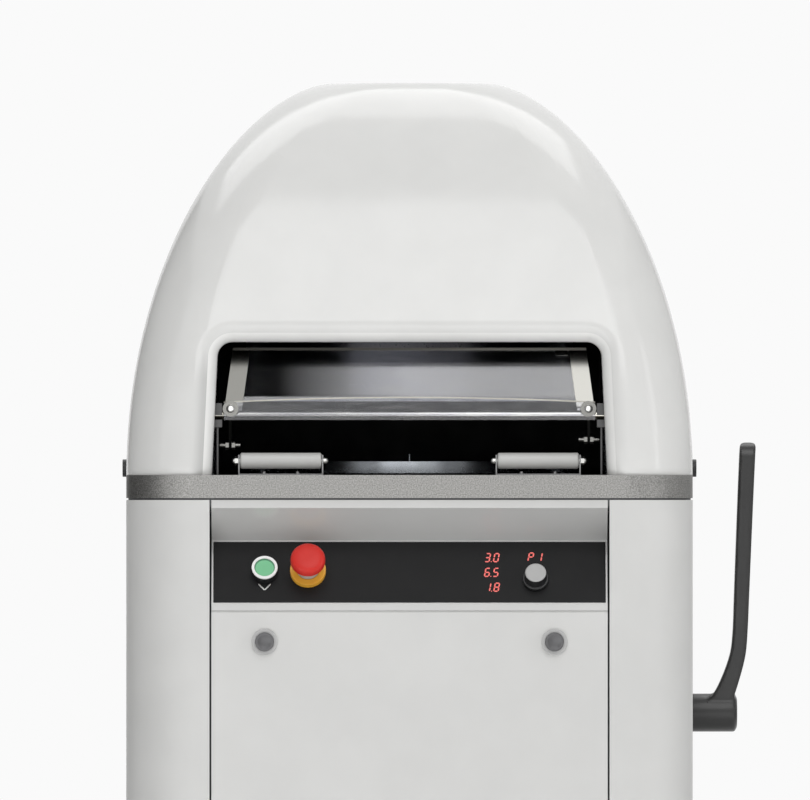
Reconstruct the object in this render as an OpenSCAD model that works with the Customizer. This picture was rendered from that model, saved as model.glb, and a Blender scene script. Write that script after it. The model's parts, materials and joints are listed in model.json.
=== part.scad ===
// Automatic divider rounder: cabinet, hood, dividing head, rounding drive and controls.
// Millimetres. +X is the operator's right, +Y the back, +Z up. Origin: floor, centre of the cabinet.

/* [Cabinet] */
// Width across the side panels
body_w = 645; // [620:1:680]
// Depth from the front panel to the back panel
body_d = 660; // [640:1:700]
// Radius of the upright corners
corner_r = 80; // [60:1:84]
// Thickness of the panel sheet
panel_t = 2; // [1.5:0.1:3]
// Height of the panels' lower edge above the floor
panel_base = 60; // [50:1:80]
// Width of the bay between the side panels
bay_w = 454; // [440:1:460]
// Seam between neighbouring panels
seam = 2; // [1:0.5:3]
// Depth of the folded edges of the panels
fold_d = 22; // [16:1:26]
// Diameter of a levelling foot
foot_d = 60; // [45:1:80]
// Width of a frame post
post_w = 40; // [30:1:45]

/* [Table] */
// Height of the table top above the floor
table_z = 1000; // [970:1:1050]
// Thickness of the table
table_t = 26.3; // [20:0.1:30]
// Gap between the table and the panels
table_gap = 2; // [1:0.5:4]
// Thickness of the deck plate under the table
deck_t = 15; // [12:1:16]

/* [Hood] */
// Height of the hood above the table
hood_h = 449.5; // [430:0.5:480]
// Width of the hood's crown
hood_crown_w = 184; // [150:1:220]
// How far the front slopes back from base to crown
hood_front_run = 232; // [200:1:250]
// How far the back slopes forward from base to crown
hood_back_run = 177; // [140:1:200]
// Wall of the hood
hood_wall = 4; // [3:0.5:6]
// Width of the mouth at the table
mouth_w = 448.8; // [445:0.1:470]
// Width of the mouth at its top
mouth_top_w = 434.6; // [430:0.1:440]
// Height of the mouth
mouth_h = 151; // [150:1:165]
// Radius of the mouth's upper corners
mouth_r = 17; // [12:1:30]
// Radius of the rolled lip round the mouth
lip_r = 26; // [16:1:27]
// Diameter of the caps on the hood's fixing screws
hood_cap_d = 20; // [14:1:26]

/* [Console] */
// Height of the fascia above the recess
fascia_h = 9.1; // [8:0.1:25]
// Depth of the recess
recess_d = 41; // [30:1:44]
// Height of the recess's ceiling
ceiling_h = 37.1; // [25:0.1:40]
// Height of the slanted control face
slant_h = 72.3; // [64:0.1:80]
// Height of the sill under the control face
sill_h = 7; // [6:1:16]
// Light border left round the control plate
plate_border = 2.2; // [1:0.1:4]
// Start button from the middle
start_x = -164.5; // [-180:0.5:-150]
// Emergency stop from the middle
estop_x = -115.3; // [-125:0.1:-105]
// Program knob from the middle
knob_x = 143.2; // [120:0.1:170]
// Emergency stop head diameter
estop_d = 39.5; // [36:0.1:42]
// Start button ring diameter
start_d = 29.5; // [28:0.1:32]
// Program knob diameter
knob_d = 25.5; // [22:0.1:28]
// Panel locks from the middle
lock_x = 164.5; // [120:0.5:190]
// Height of the panel locks
lock_z = 810.6; // [800:0.1:815]

/* [Mouth fittings] */
// Diameter of a guide roller
roller_d = 18.3; // [16:0.1:19]
// Length of a guide roller
roller_len = 92.4; // [80:0.1:96]
// Middle of a guide roller from the middle of the table
roller_x = 146.3; // [142:0.1:148]
// Height of the guard's shaft above the table
guard_z = 68.1; // [66:0.1:72]
// Length of the guard's sloping part
guard_len = 81; // [70:1:84]
// Lean of the guard from the level
guard_lean = 71; // [68:1:80]
// Radius of the carrier plate
carrier_r = 185; // [170:1:190]
// Rounding throw of the carrier plate
throw = 12; // [8:0.5:14]

/* [Dividing head] */
// Distance of a guide column from the middle
column_x = 234; // [230:1:236]
// Diameter of a guide column
column_d = 28; // [24:1:30]
// Height of the piston faces above the table
face_z = 95; // [92:1:98]
// Height of a piston
piston_h = 60; // [56:1:62]
// Radius that the pistons fill
die_r = 170; // [160:1:172]
// Thickness of a knife blade
blade_t = 2.5; // [2:0.1:3]
// Height of a knife blade
blade_h = 48; // [40:1:50]

/* [Side lever] */
// Height of the lever's axis
lever_z = 726.7; // [700:0.1:740]
// Diameter of the lever's hub
hub_d = 44; // [40:1:50]
// Length of the lever's hub
hub_len = 54.5; // [50:0.5:62]
// Height of the lever's tip above its axis
lever_h = 311.3; // [260:0.1:330]
// Reach of the lever's outer face from the side panel at its tip
lever_reach = 79; // [74:1:90]
// Width of the lever's arm
lever_w = 34; // [26:1:40]

/* [Hidden] */
$fn = 48;

// fits and cuts
overrun = 1;
fit = 0.05;
seat_gap = 0.3;
clear = 2;

// derived places of the cabinet
front_y = -body_d / 2;
back_y = body_d / 2;
side_x = body_w / 2;
table_under = table_z - table_t;
panel_top = table_under - table_gap;
deck_under = table_under - deck_t;
inset = panel_t + seat_gap;
inner_w = body_w - 2 * inset;
inner_d = body_d - 2 * inset;
inner_r = corner_r - inset;
bay_x = bay_w / 2;
base_t = 10;
base_z = panel_base + clear;
base_top = base_z + base_t;
fold_z = base_top + overrun;
fold_h = deck_under - overrun - fold_z;
foot_pad_t = 14;
foot_stem_d = 20;
foot_edge = 3;
foot_neck_d = 34;
foot_nut = 30;
foot_nut_t = 10;
foot_inset = 80;
foot_x = body_w / 2 - foot_inset;
foot_y = body_d / 2 - foot_inset;
post_wall = 3;
post_inset = 70;
post_x = body_w / 2 - post_inset;
post_y = body_d / 2 - post_inset;

// machine axis and column places
head_y = 40;
hole_clear = 3;

// derived places of the console
recess_top = panel_top - fascia_h;
recess_z = recess_top - ceiling_h;
slant_z = recess_z - slant_h;
sill_z = slant_z - sill_h;
tilt = atan2(recess_d, slant_h);
slant_len = sqrt(recess_d * recess_d + slant_h * slant_h);
slant_y = front_y + recess_d / 2;
slant_mid = slant_z + slant_h / 2;
console_w = bay_w - 2 * seam;
plate_t = 1.2;
barrel_d = 22;
barrel_len = 28;
barrel_bore = 10;
control_u = -0.4;
knob_u = -10.8;
encoder_d = 9;
encoder_len = 14;
encoder_shaft_d = 6;
encoder_shaft_h = 13;

// locks
lock_ring_d = 29.5;
lock_ring_t = 4;
lock_d = 21;
lock_proud = 9;
lock_dish_r = 30;
lock_dish = 1.2;
lock_shank_d = 10;
tongue_w = 12;
tongue_len = 26;
tongue_t = 3;
keeper_z = lock_z + tongue_w / 2 + overrun;

// start button
start_h = 9.5;
start_ring_t = 2.5;
start_cap_d = 23;
start_cap_t = 5;
start_sink = 1;
floor_t = 1.5;
start_stem_d = 8;

// emergency stop
collar_d = 40.6;
collar_t = 7;
neck_d = 26;
stem_gap = 6.7;
head_low = 18;
head_rim = 25;
head_top = 37;
head_socket_d = 20;
head_socket_h = 8;
head_foot_d = 29;
head_edge = 3;
head_steps = 10;
head_round_share = 0.6;

// program knob
skirt_d = 29.6;
skirt_h = 5;
knob_h = 18.6;
knob_lift = 0.5;
skirt_edge = 0.8;
knob_round = 2;
knob_taper = 0.6;
knob_steps = 5;

// mouth fittings
roller_set = 42;
roller_y = front_y + roller_set;
roller_z = 16.2;
axle_d = 5;
bracket_t = 1.5;
bracket_w = 14;
bracket_h = 23;
roller_gap = 0.6;
roller_edge = 1.5;
bracket_screw_d = 4.5;
bracket_screw_h = 2.5;
bracket_screw_x = 19;
nut_w = 9;
nut_t = 4;
acorn_d = 7;
acorn_foot = 2.3;
guard_set = 52;
guard_y = front_y + guard_set;
guard_shaft_d = 11;
guard_half = 224;
block_x0 = 213;
block_x1 = 225;
block_d = 20;
block_below = 14;
block_above = 13.6;
block_slot = 5;
guard_post_x = 217;
guard_post_t = 2.6;
guard_post_d = 16;
strip_t = 2;
strip_top = 15;
strip_bow = 5.5;
strip_steps = 8;
strip_x = 211;
strip_front = 8;
strip_low = 5.5;
strap_x0 = 191;
strap_x1 = 211;
strap_taper = 10;
strap_t = 2;
strap_start = 3;
bar_t = 2.5;
bar_x = 180;
clip_w = 14;
clip_h = 9;
shield_t = 3;
shield_start = 17;
shield_edge = 4;
crank_x = 204;
crank_t = 3;
crank_w = 8;
crank_drop = 30;
link_rise = 6.5;
crank_back = 20;
bolt_x = 203.5;
bolt_z = 7.2;
bolt_d = 10;
bolt_shank_d = 3;
washer_d = 18;
washer_t = 1.5;
link_d = 5;
link_reach = 10.5;
link_in = 10;
link_nut = 9;
link_nut_t = 4;

// carrier plate and rounding drive
carrier_z = 2;
carrier_t = 14;
carrier_bevel = 0.4;
pin_d = 2.6;
pin_h = 8.5;
carrier_hub_d = 84;
carrier_hub_drop = 38;
carrier_bore = 46;
crankpin_d = 30;
crankpin_top = 4;
web_top = 48;
web_t = 14;
web_d = 90;
hub_hole_r = carrier_hub_d / 2 + throw + hole_clear;
crank_pos = 130;
guide_boss_d = 28;
guide_boss_drop = 10;
guide_pin_d = 14;
guide_web_d = 56;
guide_web_t = 10;
guide_shaft_d = 20;
guide_shaft_drop = 40;
guide_hole_r = guide_boss_d / 2 + throw + hole_clear + clear;
spindle_d = 35;
spindle_bottom = 275;
housing_flange_d = 160;
housing_flange_t = 12;
housing_d = 120;
housing_drop = 160;
cavity_d = 96;
cavity_drop = 70;
bearing_d = 60;
bearing_t = 20;
pulley_drop = 265;
pulley_t = 22;
pulley_r = 80;
pulley_rim = 10;
pulley_web = 8;
flange_t = 1.7;
flange_out = 8;
motor_pulley_r = 30;
motor_dx = -110;
motor_dy = 160;
motor_d = 130;
motor_len = 178;
motor_flange_t = 12;
motor_shaft_d = 19;
motor_fan_d = 120;
motor_ribs = 20;
motor_rib_t = 3;
motor_rib_h = 6;
motor_box_w = 60;
motor_box_h = 70;
motor_box_d = 24;
belt_t = 5;
belt_w = 18;
belt_gap = 0.5;

// dividing head
crosshead_z = 248;
crosshead_t = 22;
crosshead_d = 90;
crosshead_end = 22;
cylinder_d = 70;
cylinder_gap = 59.5;
cylinder_h = hood_h - cylinder_gap - crosshead_z - crosshead_t;
cylinder_bore = 50;
cylinder_foot = 15;
cylinder_cap = 10;
ram_d = 28;
ram_piston_t = 12;
ram_piston_gap = 6;
press_t = 18;
press_plate_r = 190;
press_z = face_z + piston_h;
boss_d = 56;
boss_h = 60;
bush_wall = 4;
press_ring_gap = 8;
press_ring_wall = 10;
press_ring_ri = die_r + press_ring_gap;
press_ring_ro = press_ring_ri + press_ring_wall;
press_ring_drop = 4;
stop_inset = 56;
stop_x = side_x - stop_inset;
stop_lug_d = 20;
stop_lug_drop = 50;
rings = [4, 10, 16];
ring_sum = [0, 4, 14, 30];
die_gap = 0.6;
knife_ring_t = 6;
knife_lift = 2;
knife_rod_d = 6;
knife_rods = 4;
knife_stroke = 20;
yoke_t = 10;
yoke_gap = 6;
yoke_w = 16;
yoke_hub_d = 48;
yoke_hub_h = 16;

// lever works
lever_shaft_d = 24;
lever_shaft_in = 80;
hub_gap = 0.5;
hub_dome = 3;
cam_r = 46;
cam_lift = 12;
cam_turn = 60;
cam_from = -20;
cam_to = 80;
cam_step = 4;
cam_t = 10;
cam_hub_d = 46;
stop_d = 14;
stop_gap = 0.8;
stop_top = 45;
rail_t = 8;
rail_h = 40;
bearing_boss_d = 50;
bearing_boss_len = 40;
lever_rise_shares = [0.03, 0.09, 0.2, 0.29, 0.457, 0.762, 1];
lever_in_shares = [0.218, 0.396, 0.571, 0.627, 0.652, 0.696, 0.734];
lever_out_shares = [0.601, 0.688, 0.807, 0.845, 0.874, 0.925, 0.968];
lever_steps = 4;
lever_round = 5;
lever_round_step = 15;

// pressing drive and supply
tank_w = 380;
tank_d = 300;
tank_h = 230;
tank_r = 20;
tank_y = 60;
tank_lid_t = 8;
tank_wall = 4;
pump_d = 140;
pump_h = 210;
pump_flange_d = 180;
pump_flange_t = 12;
pump_fins = 24;
fin_t = 3;
fin_h = 6;
gland_x = -150;
gland_z = 150;
gland_d = 24;
gland_bore = 13;
gland_hex = 29;
gland_hex_t = 8;
gland_out = 22;
gland_in = 10;
louvre_w = 150;
louvre_h = 6;
louvre_pitch = 20;
louvre_rows = 9;
louvre_x = 95;
louvre_z = 420;
louvre_out = 6;
louvre_t = 1.5;

// hood loft
hood_arch_power = 0.605;
hood_back_power = 0.5;
hood_set = 3;
hood_rise_steps = 16;
hood_corner_steps = 8;
mouth_steps = 8;
mouth_side_steps = 5;
lip_steps = 6;
hood_cap_t = 5;
hood_cap_z = 8;
hood_cap_y = 190;

// shared shapes

module rounded_rect(w, d, r) {
    square([w - 2 * r, d], center = true);
    square([w, d - 2 * r], center = true);
    for (sx = [-1, 1], sy = [-1, 1])
        translate([sx * (w / 2 - r), sy * (d / 2 - r)])
            circle(r = r);
}

module tube(outer_d, inner_d, h) {
    difference() {
        cylinder(d = outer_d, h = h);
        translate([0, 0, -overrun])
            cylinder(d = inner_d, h = h + 2 * overrun);
    }
}

// a flat shape drawn in y and z, run along X and centred
module run_x(len) {
    rotate([90, 0, 90])
        linear_extrude(len, center = true)
            children();
}

// half ball on the local z = 0 plane
module dome(d) {
    rotate_extrude()
        intersection() {
            circle(d = d);
            square(d);
        }
}

// local z turned to point along +X
module along_x() {
    rotate([0, 90, 0])
        children();
}

// local z turned to point along -Y, out of the front
module out_front() {
    rotate([90, 0, 0])
        children();
}

// local z standing out of the control plate at x and u up the slope
module on_plate(x, u) {
    translate([x, slant_y, slant_mid])
        rotate([90 - tilt, 0, 0])
            translate([0, u, plate_t])
                children();
}

module hex(w, h) {
    cylinder(d = w / cos(30), h = h, $fn = 6);
}

// cabinet

module base_plate() {
    color([0.35, 0.36, 0.37])
        translate([0, 0, base_z])
            linear_extrude(base_t)
                rounded_rect(inner_w, inner_d, inner_r);
}

module levelling_feet() {
    color([0.12, 0.12, 0.12])
        for (sx = [-1, 1], sy = [-1, 1])
            translate([sx * foot_x, sy * foot_y, 0]) {
                rotate_extrude()
                    polygon([[0, 0], [foot_d / 2 - foot_edge, 0], [foot_d / 2, foot_edge],
                        [foot_d / 2, foot_pad_t / 2], [foot_neck_d / 2, foot_pad_t], [foot_stem_d / 2, foot_pad_t],
                        [foot_stem_d / 2, base_z], [0, base_z]]);
                translate([0, 0, base_z - foot_nut_t])
                    hex(foot_nut, foot_nut_t);
            }
}

module frame_posts() {
    color([0.4, 0.41, 0.42])
        for (sx = [-1, 1], sy = [-1, 1])
            translate([sx * post_x, sy * post_y, base_top])
                linear_extrude(deck_under - base_top)
                    difference() {
                        square(post_w, center = true);
                        square(post_w - 2 * post_wall, center = true);
                    }
}

module table_holes() {
    translate([0, head_y])
        circle(r = hub_hole_r);
    for (s = [-1, 1])
        translate([s * column_x, head_y])
            circle(d = column_d);
    translate([stop_x, head_y])
        circle(d = stop_d + 2 * fit);
}

// the deck's lower front edge is stepped back where the recess's ceiling slopes under it
module top_plate() {
    sunk = recess_top - deck_under;
    color([0.5, 0.51, 0.52])
        difference() {
            translate([0, 0, deck_under])
                linear_extrude(deck_t)
                    difference() {
                        rounded_rect(inner_w, inner_d, inner_r);
                        table_holes();
                        for (s = [-1, 1])
                            translate([s * crank_pos, head_y])
                                circle(d = guide_shaft_d + 2 * fit);
                    }
            if (sunk > -clear)
                translate([-console_w / 2 - clear, front_y, deck_under - overrun])
                    cube([console_w + 2 * clear, max(0, sunk) / ceiling_h * recess_d + panel_t + clear,
                        sunk + clear + overrun]);
        }
}

module table_top() {
    color([0.62, 0.62, 0.6])
        translate([0, 0, table_under])
            linear_extrude(table_t)
                difference() {
                    rounded_rect(body_w, body_d, corner_r);
                    table_holes();
                    for (s = [-1, 1])
                        translate([s * crank_pos, head_y])
                            circle(r = guide_hole_r);
                }
}

module side_panel(bore) {
    difference() {
        union() {
            translate([0, 0, panel_base])
                linear_extrude(panel_top - panel_base)
                    intersection() {
                        difference() {
                            rounded_rect(body_w, body_d, corner_r);
                            rounded_rect(body_w - 2 * panel_t, body_d - 2 * panel_t, corner_r - panel_t);
                        }
                        translate([bay_x, -body_d])
                            square([body_w, 2 * body_d]);
                    }
            for (y = [front_y, back_y - fold_d])
                translate([bay_x, y, fold_z])
                    cube([panel_t, fold_d, fold_h]);
        }
        if (bore)
            translate([side_x - corner_r, head_y, lever_z])
                along_x()
                    cylinder(d = lever_shaft_d + 2 * clear, h = 2 * corner_r);
    }
}

module side_panel_left() {
    color([0.84, 0.84, 0.83])
        mirror([1, 0, 0])
            side_panel(false);
}

module side_panel_right() {
    color([0.84, 0.84, 0.83])
        side_panel(true);
}

module back_panel() {
    color([0.82, 0.82, 0.81])
        union() {
            difference() {
                translate([-console_w / 2, back_y - panel_t, panel_base])
                    cube([console_w, panel_t, panel_top - panel_base]);
                for (s = [-1, 1], i = [0 : louvre_rows - 1])
                    translate([s * louvre_x - louvre_w / 2, back_y - panel_t - overrun, louvre_z + i * louvre_pitch])
                        cube([louvre_w, panel_t + 2 * overrun, louvre_h]);
                translate([gland_x, back_y + overrun, gland_z])
                    out_front()
                        cylinder(d = gland_d, h = panel_t + 2 * overrun);
            }
            for (s = [-1, 1], i = [0 : louvre_rows - 1])
                translate([s * louvre_x, back_y, louvre_z + i * louvre_pitch])
                    run_x(louvre_w)
                        polygon([[-panel_t, louvre_h], [0, louvre_h], [louvre_out, 0], [louvre_out, louvre_t],
                            [0, louvre_h + louvre_t], [-panel_t, louvre_h + louvre_t]]);
        }
}

module front_panel() {
    panel_z = sill_z - seam;
    color([0.85, 0.85, 0.84])
        difference() {
            union() {
                translate([-console_w / 2, front_y, panel_base])
                    cube([console_w, panel_t, panel_z - panel_base]);
                for (x = [-console_w / 2, console_w / 2 - panel_t])
                    translate([x, front_y, fold_z])
                        cube([panel_t, fold_d, keeper_z - lock_shank_d - fold_z]);
            }
            for (s = [-1, 1])
                translate([s * lock_x, front_y + panel_t + overrun, lock_z])
                    out_front()
                        cylinder(d = lock_shank_d + 2 * fit, h = panel_t + 2 * overrun);
        }
}

// console

module console() {
    outer = [[front_y, panel_top], [front_y, recess_top], [front_y + recess_d, recess_z],
        [front_y, slant_z], [front_y, sill_z]];
    inner = [for (i = [4 : -1 : 0]) outer[i] + [panel_t, 0]];
    color([0.85, 0.85, 0.84])
        difference() {
            run_x(console_w) {
                polygon(concat(outer, inner));
                translate([front_y + panel_t, keeper_z])
                    square([panel_t, slant_z - keeper_z]);
            }
            for (x = [start_x, estop_x])
                on_plate(x, control_u)
                    translate([0, 0, -barrel_len])
                        cylinder(d = barrel_d + 2 * fit, h = 2 * barrel_len);
            on_plate(knob_x, knob_u)
                translate([0, 0, -barrel_len])
                    cylinder(d = encoder_d + 2 * fit, h = 2 * barrel_len);
        }
}

module control_plate() {
    plate_w = console_w - 2 * plate_border;
    plate_h = slant_len - 2 * plate_border;
    color([0.13, 0.13, 0.14])
        difference() {
            on_plate(0, 0)
                translate([-plate_w / 2, -plate_h / 2, -plate_t])
                    cube([plate_w, plate_h, plate_t]);
            for (x = [start_x, estop_x])
                on_plate(x, control_u)
                    translate([0, 0, -barrel_len])
                        cylinder(d = barrel_d + 2 * fit, h = 2 * barrel_len);
            on_plate(knob_x, knob_u)
                translate([0, 0, -barrel_len])
                    cylinder(d = encoder_d + 2 * fit, h = 2 * barrel_len);
        }
}

module lock_rings() {
    color([0.75, 0.75, 0.75])
        for (s = [-1, 1])
            translate([s * lock_x, front_y, lock_z])
                out_front()
                    tube(lock_ring_d, lock_d + 2 * fit, lock_ring_t);
}

module lock(x) {
    color([0.32, 0.33, 0.35])
        translate([x, front_y, lock_z])
            out_front() {
                difference() {
                    translate([0, 0, seat_gap])
                        cylinder(d = lock_d, h = lock_proud - seat_gap);
                    translate([0, 0, lock_proud + lock_dish_r - lock_dish])
                        sphere(r = lock_dish_r);
                }
                translate([0, 0, -2 * panel_t - seat_gap - tongue_t])
                    cylinder(d = lock_shank_d, h = 2 * panel_t + 2 * seat_gap + tongue_t + overrun);
                translate([-tongue_w / 2, -tongue_w / 2, -2 * panel_t - seat_gap - tongue_t])
                    cube([tongue_w, tongue_len, tongue_t]);
            }
}

module lock_left() {
    lock(-lock_x);
}

module lock_right() {
    lock(lock_x);
}

// hood: one closed skin with rows of points up the shell, left open round the mouth, and a rolled lip

function arch(t) = pow(max(0, 1 - t * t), hood_arch_power);
function back_arch(t) = pow(max(0, 1 - t * t * t * t), hood_back_power);
function hood_half(t) = hood_crown_w / 2 + (body_w - hood_crown_w) / 2 * arch(t);
function hood_flat(t) = hood_half(t) - corner_r;
function hood_front(t) = front_y + hood_set + hood_front_run * (1 - arch(t));
function hood_back(t) = back_y - hood_set - hood_back_run * (1 - back_arch(t));

// angle of the front corner's arc at x, and the depth of the front face at x and z
function face_angle(x, t) = asin(max(0, x - hood_flat(t)) / corner_r) - 90;
function hood_face(x, z) =
    let (t = z / hood_h)
    hood_front(t) + corner_r * (1 + sin(face_angle(abs(x), t)));

// right half of the mouth's edge as [x, z, normal angle], from its foot to the middle of the top
mouth_slope = atan2((mouth_w - mouth_top_w) / 2, mouth_h);
mouth_cz = mouth_h - mouth_r;
mouth_cx = mouth_w / 2 - mouth_cz * tan(mouth_slope) - mouth_r / cos(mouth_slope);
mouth_right = concat(
    [for (i = [0 : mouth_side_steps - 1])
        let (z = mouth_cz * i / mouth_side_steps)
        [mouth_w / 2 - z * tan(mouth_slope), z, mouth_slope]],
    [for (i = [0 : mouth_steps])
        let (a = mouth_slope + (90 - mouth_slope) * i / mouth_steps)
        [mouth_cx + mouth_r * cos(a), mouth_cz + mouth_r * sin(a), a]]);

// a point of the edge moved out by s, with its foot kept on the table
function moved(p, s) = [p[0] + s * cos(p[2]), p[1] == 0 ? 0 : p[1] + s * sin(p[2])];
function rim(i) = moved(mouth_right[i], lip_r);

// counts of rows and columns
corner_row = mouth_side_steps + mouth_steps / 2;
top_row = corner_row + hood_rise_steps;
round_cols = 4 * hood_corner_steps + 4;
cols = round_cols + mouth_steps;
path_n = 2 * len(mouth_right);
lip_n = 2 * lip_steps;
rise_from = asin((mouth_h + lip_r + lip_r / 2) / hood_h);

function row_t(j) = j <= corner_row ? rim(j)[1] / hood_h
    : sin(rise_from + (90 - rise_from) * (j - corner_row - 1) / (hood_rise_steps - 1));
function row_share(j) = j <= corner_row ? 1 : hood_half(row_t(j)) / hood_half(row_t(corner_row));
function edge_x(j) = j <= corner_row ? rim(j)[0] : rim(corner_row)[0] * row_share(j);

// which point of the half edge an over-mouth column b stands on
function over(b) = b < mouth_steps / 2 ? corner_row + 1 + b : corner_row + mouth_steps - b;

function corner_point(j, k, a, w) =
    let (t = row_t(j), sx = k == 0 || k == 3 ? 1 : -1,
        y = k == 0 || k == 1 ? hood_back(t) - corner_r : hood_front(t) + corner_r)
    [sx * hood_flat(t) + (corner_r - w) * cos(a), y + (corner_r - w) * sin(a), t * (hood_h - w)];

function front_point(x, z, w) = [x, hood_face(x, z) + w, z * (hood_h - w) / hood_h];

// point of row j and column i, on the outer skin for w = 0 and on the inner one for the wall
function hood_point(j, i, w) =
    let (n = hood_corner_steps, t = row_t(j), a = face_angle(edge_x(j), t), b = i - round_cols)
    i == 0 ? front_point(edge_x(j), t * hood_h, w)
    : i <= n ? corner_point(j, 3, a * (1 - i / n), w)
    : i <= 2 * n + 1 ? corner_point(j, 0, 90 * (i - n - 1) / n, w)
    : i <= 3 * n + 2 ? corner_point(j, 1, 90 + 90 * (i - 2 * n - 2) / n, w)
    : i <= 4 * n + 2 ? corner_point(j, 2, 180 - a * (i - 3 * n - 3) / n, w)
    : i == 4 * n + 3 ? front_point(-edge_x(j), t * hood_h, w)
    : front_point((b < mouth_steps / 2 ? -1 : 1) * rim(over(b))[0] * row_share(j),
        j <= corner_row ? rim(over(b))[1] : t * hood_h, w);

// point q of the lip at step p of the path, out along the roll and back inside it
function lip_point(p, q) =
    let (left = p >= path_n / 2, m = mouth_right[left ? path_n - 1 - p : p],
        back = q > lip_steps,
        a = 90 * (back ? 2 * lip_steps + 1 - q : q) / lip_steps,
        r = back ? lip_r - hood_wall : lip_r,
        e = moved(m, lip_r - r * sin(a)), x = left ? -e[0] : e[0])
    [x, hood_face(x, e[1]) + lip_r - r * cos(a), e[1]];

// place of a point in the list: side 0 is the outer skin, 1 the inner one
function at(side, j, i) = (side * (top_row + 1) + j) * cols + i % cols;
function rim_at(side, p) = p <= corner_row ? at(side, p, 0)
    : p <= corner_row + mouth_steps ? at(side, corner_row, round_cols + mouth_steps - p + corner_row)
    : at(side, path_n - 1 - p, round_cols - 1);
function lip_at(p, q) = q == 0 ? rim_at(0, p)
    : q > lip_n ? rim_at(1, p)
    : 2 * (top_row + 1) * cols + p * lip_n + q - 1;

function turned(f) = [f[2], f[1], f[0]];
function strip(ids) =
    let (n = len(ids))
    [for (i = [0 : n / 2 - 2], h = [0, 1])
        h == 0 ? [ids[i], ids[i + 1], ids[n - 1 - i]] : [ids[i + 1], ids[n - 2 - i], ids[n - 1 - i]]];

module hood() {
    points = concat(
        [for (w = [0, hood_wall], j = [0 : top_row], i = [0 : cols - 1]) hood_point(j, i, w)],
        [for (p = [0 : path_n - 1], q = [1 : lip_n]) lip_point(p, q)]);
    skin = [for (j = [0 : top_row - 1], i = [0 : cols - 1], h = [0, 1])
        if (j >= corner_row || i < round_cols - 1)
            h == 0 ? [[j, i], [j + 1, i], [j, i + 1]] : [[j, i + 1], [j + 1, i], [j + 1, i + 1]]];
    outer = [for (f = skin) [for (v = f) at(0, v[0], v[1])]];
    inner = [for (f = skin) turned([for (v = f) at(1, v[0], v[1])])];
    crown = strip([for (i = [0 : cols - 1]) at(0, top_row, i)]);
    ceiling = strip([for (i = [0 : cols - 1]) at(1, top_row, i)]);
    lip = [for (p = [0 : path_n - 2], q = [0 : lip_n], h = [0, 1])
        h == 0 ? [lip_at(p, q), lip_at(p, q + 1), lip_at(p + 1, q)]
            : [lip_at(p + 1, q), lip_at(p, q + 1), lip_at(p + 1, q + 1)]];
    right_foot = strip([for (q = [0 : lip_n + 1]) lip_at(0, q)]);
    left_foot = strip([for (q = [0 : lip_n + 1]) lip_at(path_n - 1, q)]);
    base = [for (i = [0 : round_cols - 2], h = [0, 1])
        h == 0 ? [at(0, 0, i), at(0, 0, i + 1), at(1, 0, i + 1)] : [at(0, 0, i), at(1, 0, i + 1), at(1, 0, i)]];
    color([0.9, 0.9, 0.89])
        translate([0, 0, table_z])
            polyhedron(points, concat(outer, inner, [for (f = crown) turned(f)], ceiling, lip,
                [for (f = right_foot) turned(f)], left_foot, base));
}

module hood_caps() {
    color([0.08, 0.08, 0.08])
        for (s = [-1, 1], y = [-1, 1])
            translate([s * side_x, y * hood_cap_y, table_z + hood_cap_z])
                rotate([0, s * 90, 0])
                    cylinder(d = hood_cap_d, h = hood_cap_t);
}

// controls

module start_bezel() {
    color([0.1, 0.1, 0.1])
        on_plate(start_x, control_u)
            difference() {
                union() {
                    cylinder(d = start_d, h = start_h);
                    translate([0, 0, -barrel_len])
                        cylinder(d = barrel_d, h = barrel_len);
                }
                translate([0, 0, floor_t])
                    cylinder(d = start_cap_d + 2 * fit, h = start_h);
                translate([0, 0, -barrel_len - overrun])
                    cylinder(d = start_stem_d + 2 * fit, h = 2 * barrel_len);
            }
}

module start_ring() {
    color([0.92, 0.92, 0.92])
        on_plate(start_x, control_u)
            translate([0, 0, start_h])
                tube(start_d, start_cap_d + 2 * fit, start_ring_t);
}

module start_cap() {
    top = start_h + start_ring_t - start_sink;
    color([0.3, 0.75, 0.45])
        on_plate(start_x, control_u) {
            translate([0, 0, top - start_cap_t])
                cylinder(d = start_cap_d, h = start_cap_t);
            translate([0, 0, overrun - barrel_len])
                cylinder(d = start_stem_d, h = barrel_len + top - start_cap_t);
        }
}

module estop_collar() {
    color([0.9, 0.68, 0.12])
        on_plate(estop_x, control_u)
            difference() {
                union() {
                    cylinder(d = collar_d, h = collar_t);
                    translate([0, 0, -barrel_len])
                        cylinder(d = barrel_d, h = barrel_len);
                }
                translate([0, 0, floor_t])
                    cylinder(d = neck_d + 2 * fit, h = collar_t);
                translate([0, 0, -barrel_len - overrun])
                    cylinder(d = barrel_bore + 2 * fit, h = 2 * barrel_len);
            }
}

module estop_stem() {
    color([0.8, 0.8, 0.8])
        on_plate(estop_x, control_u) {
            translate([0, 0, stem_gap])
                cylinder(d = neck_d, h = head_low - stem_gap);
            translate([0, 0, head_low - overrun])
                cylinder(d = head_socket_d, h = head_socket_h + overrun);
            translate([0, 0, overrun - barrel_len])
                cylinder(d = barrel_bore, h = barrel_len + stem_gap);
        }
}

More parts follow.
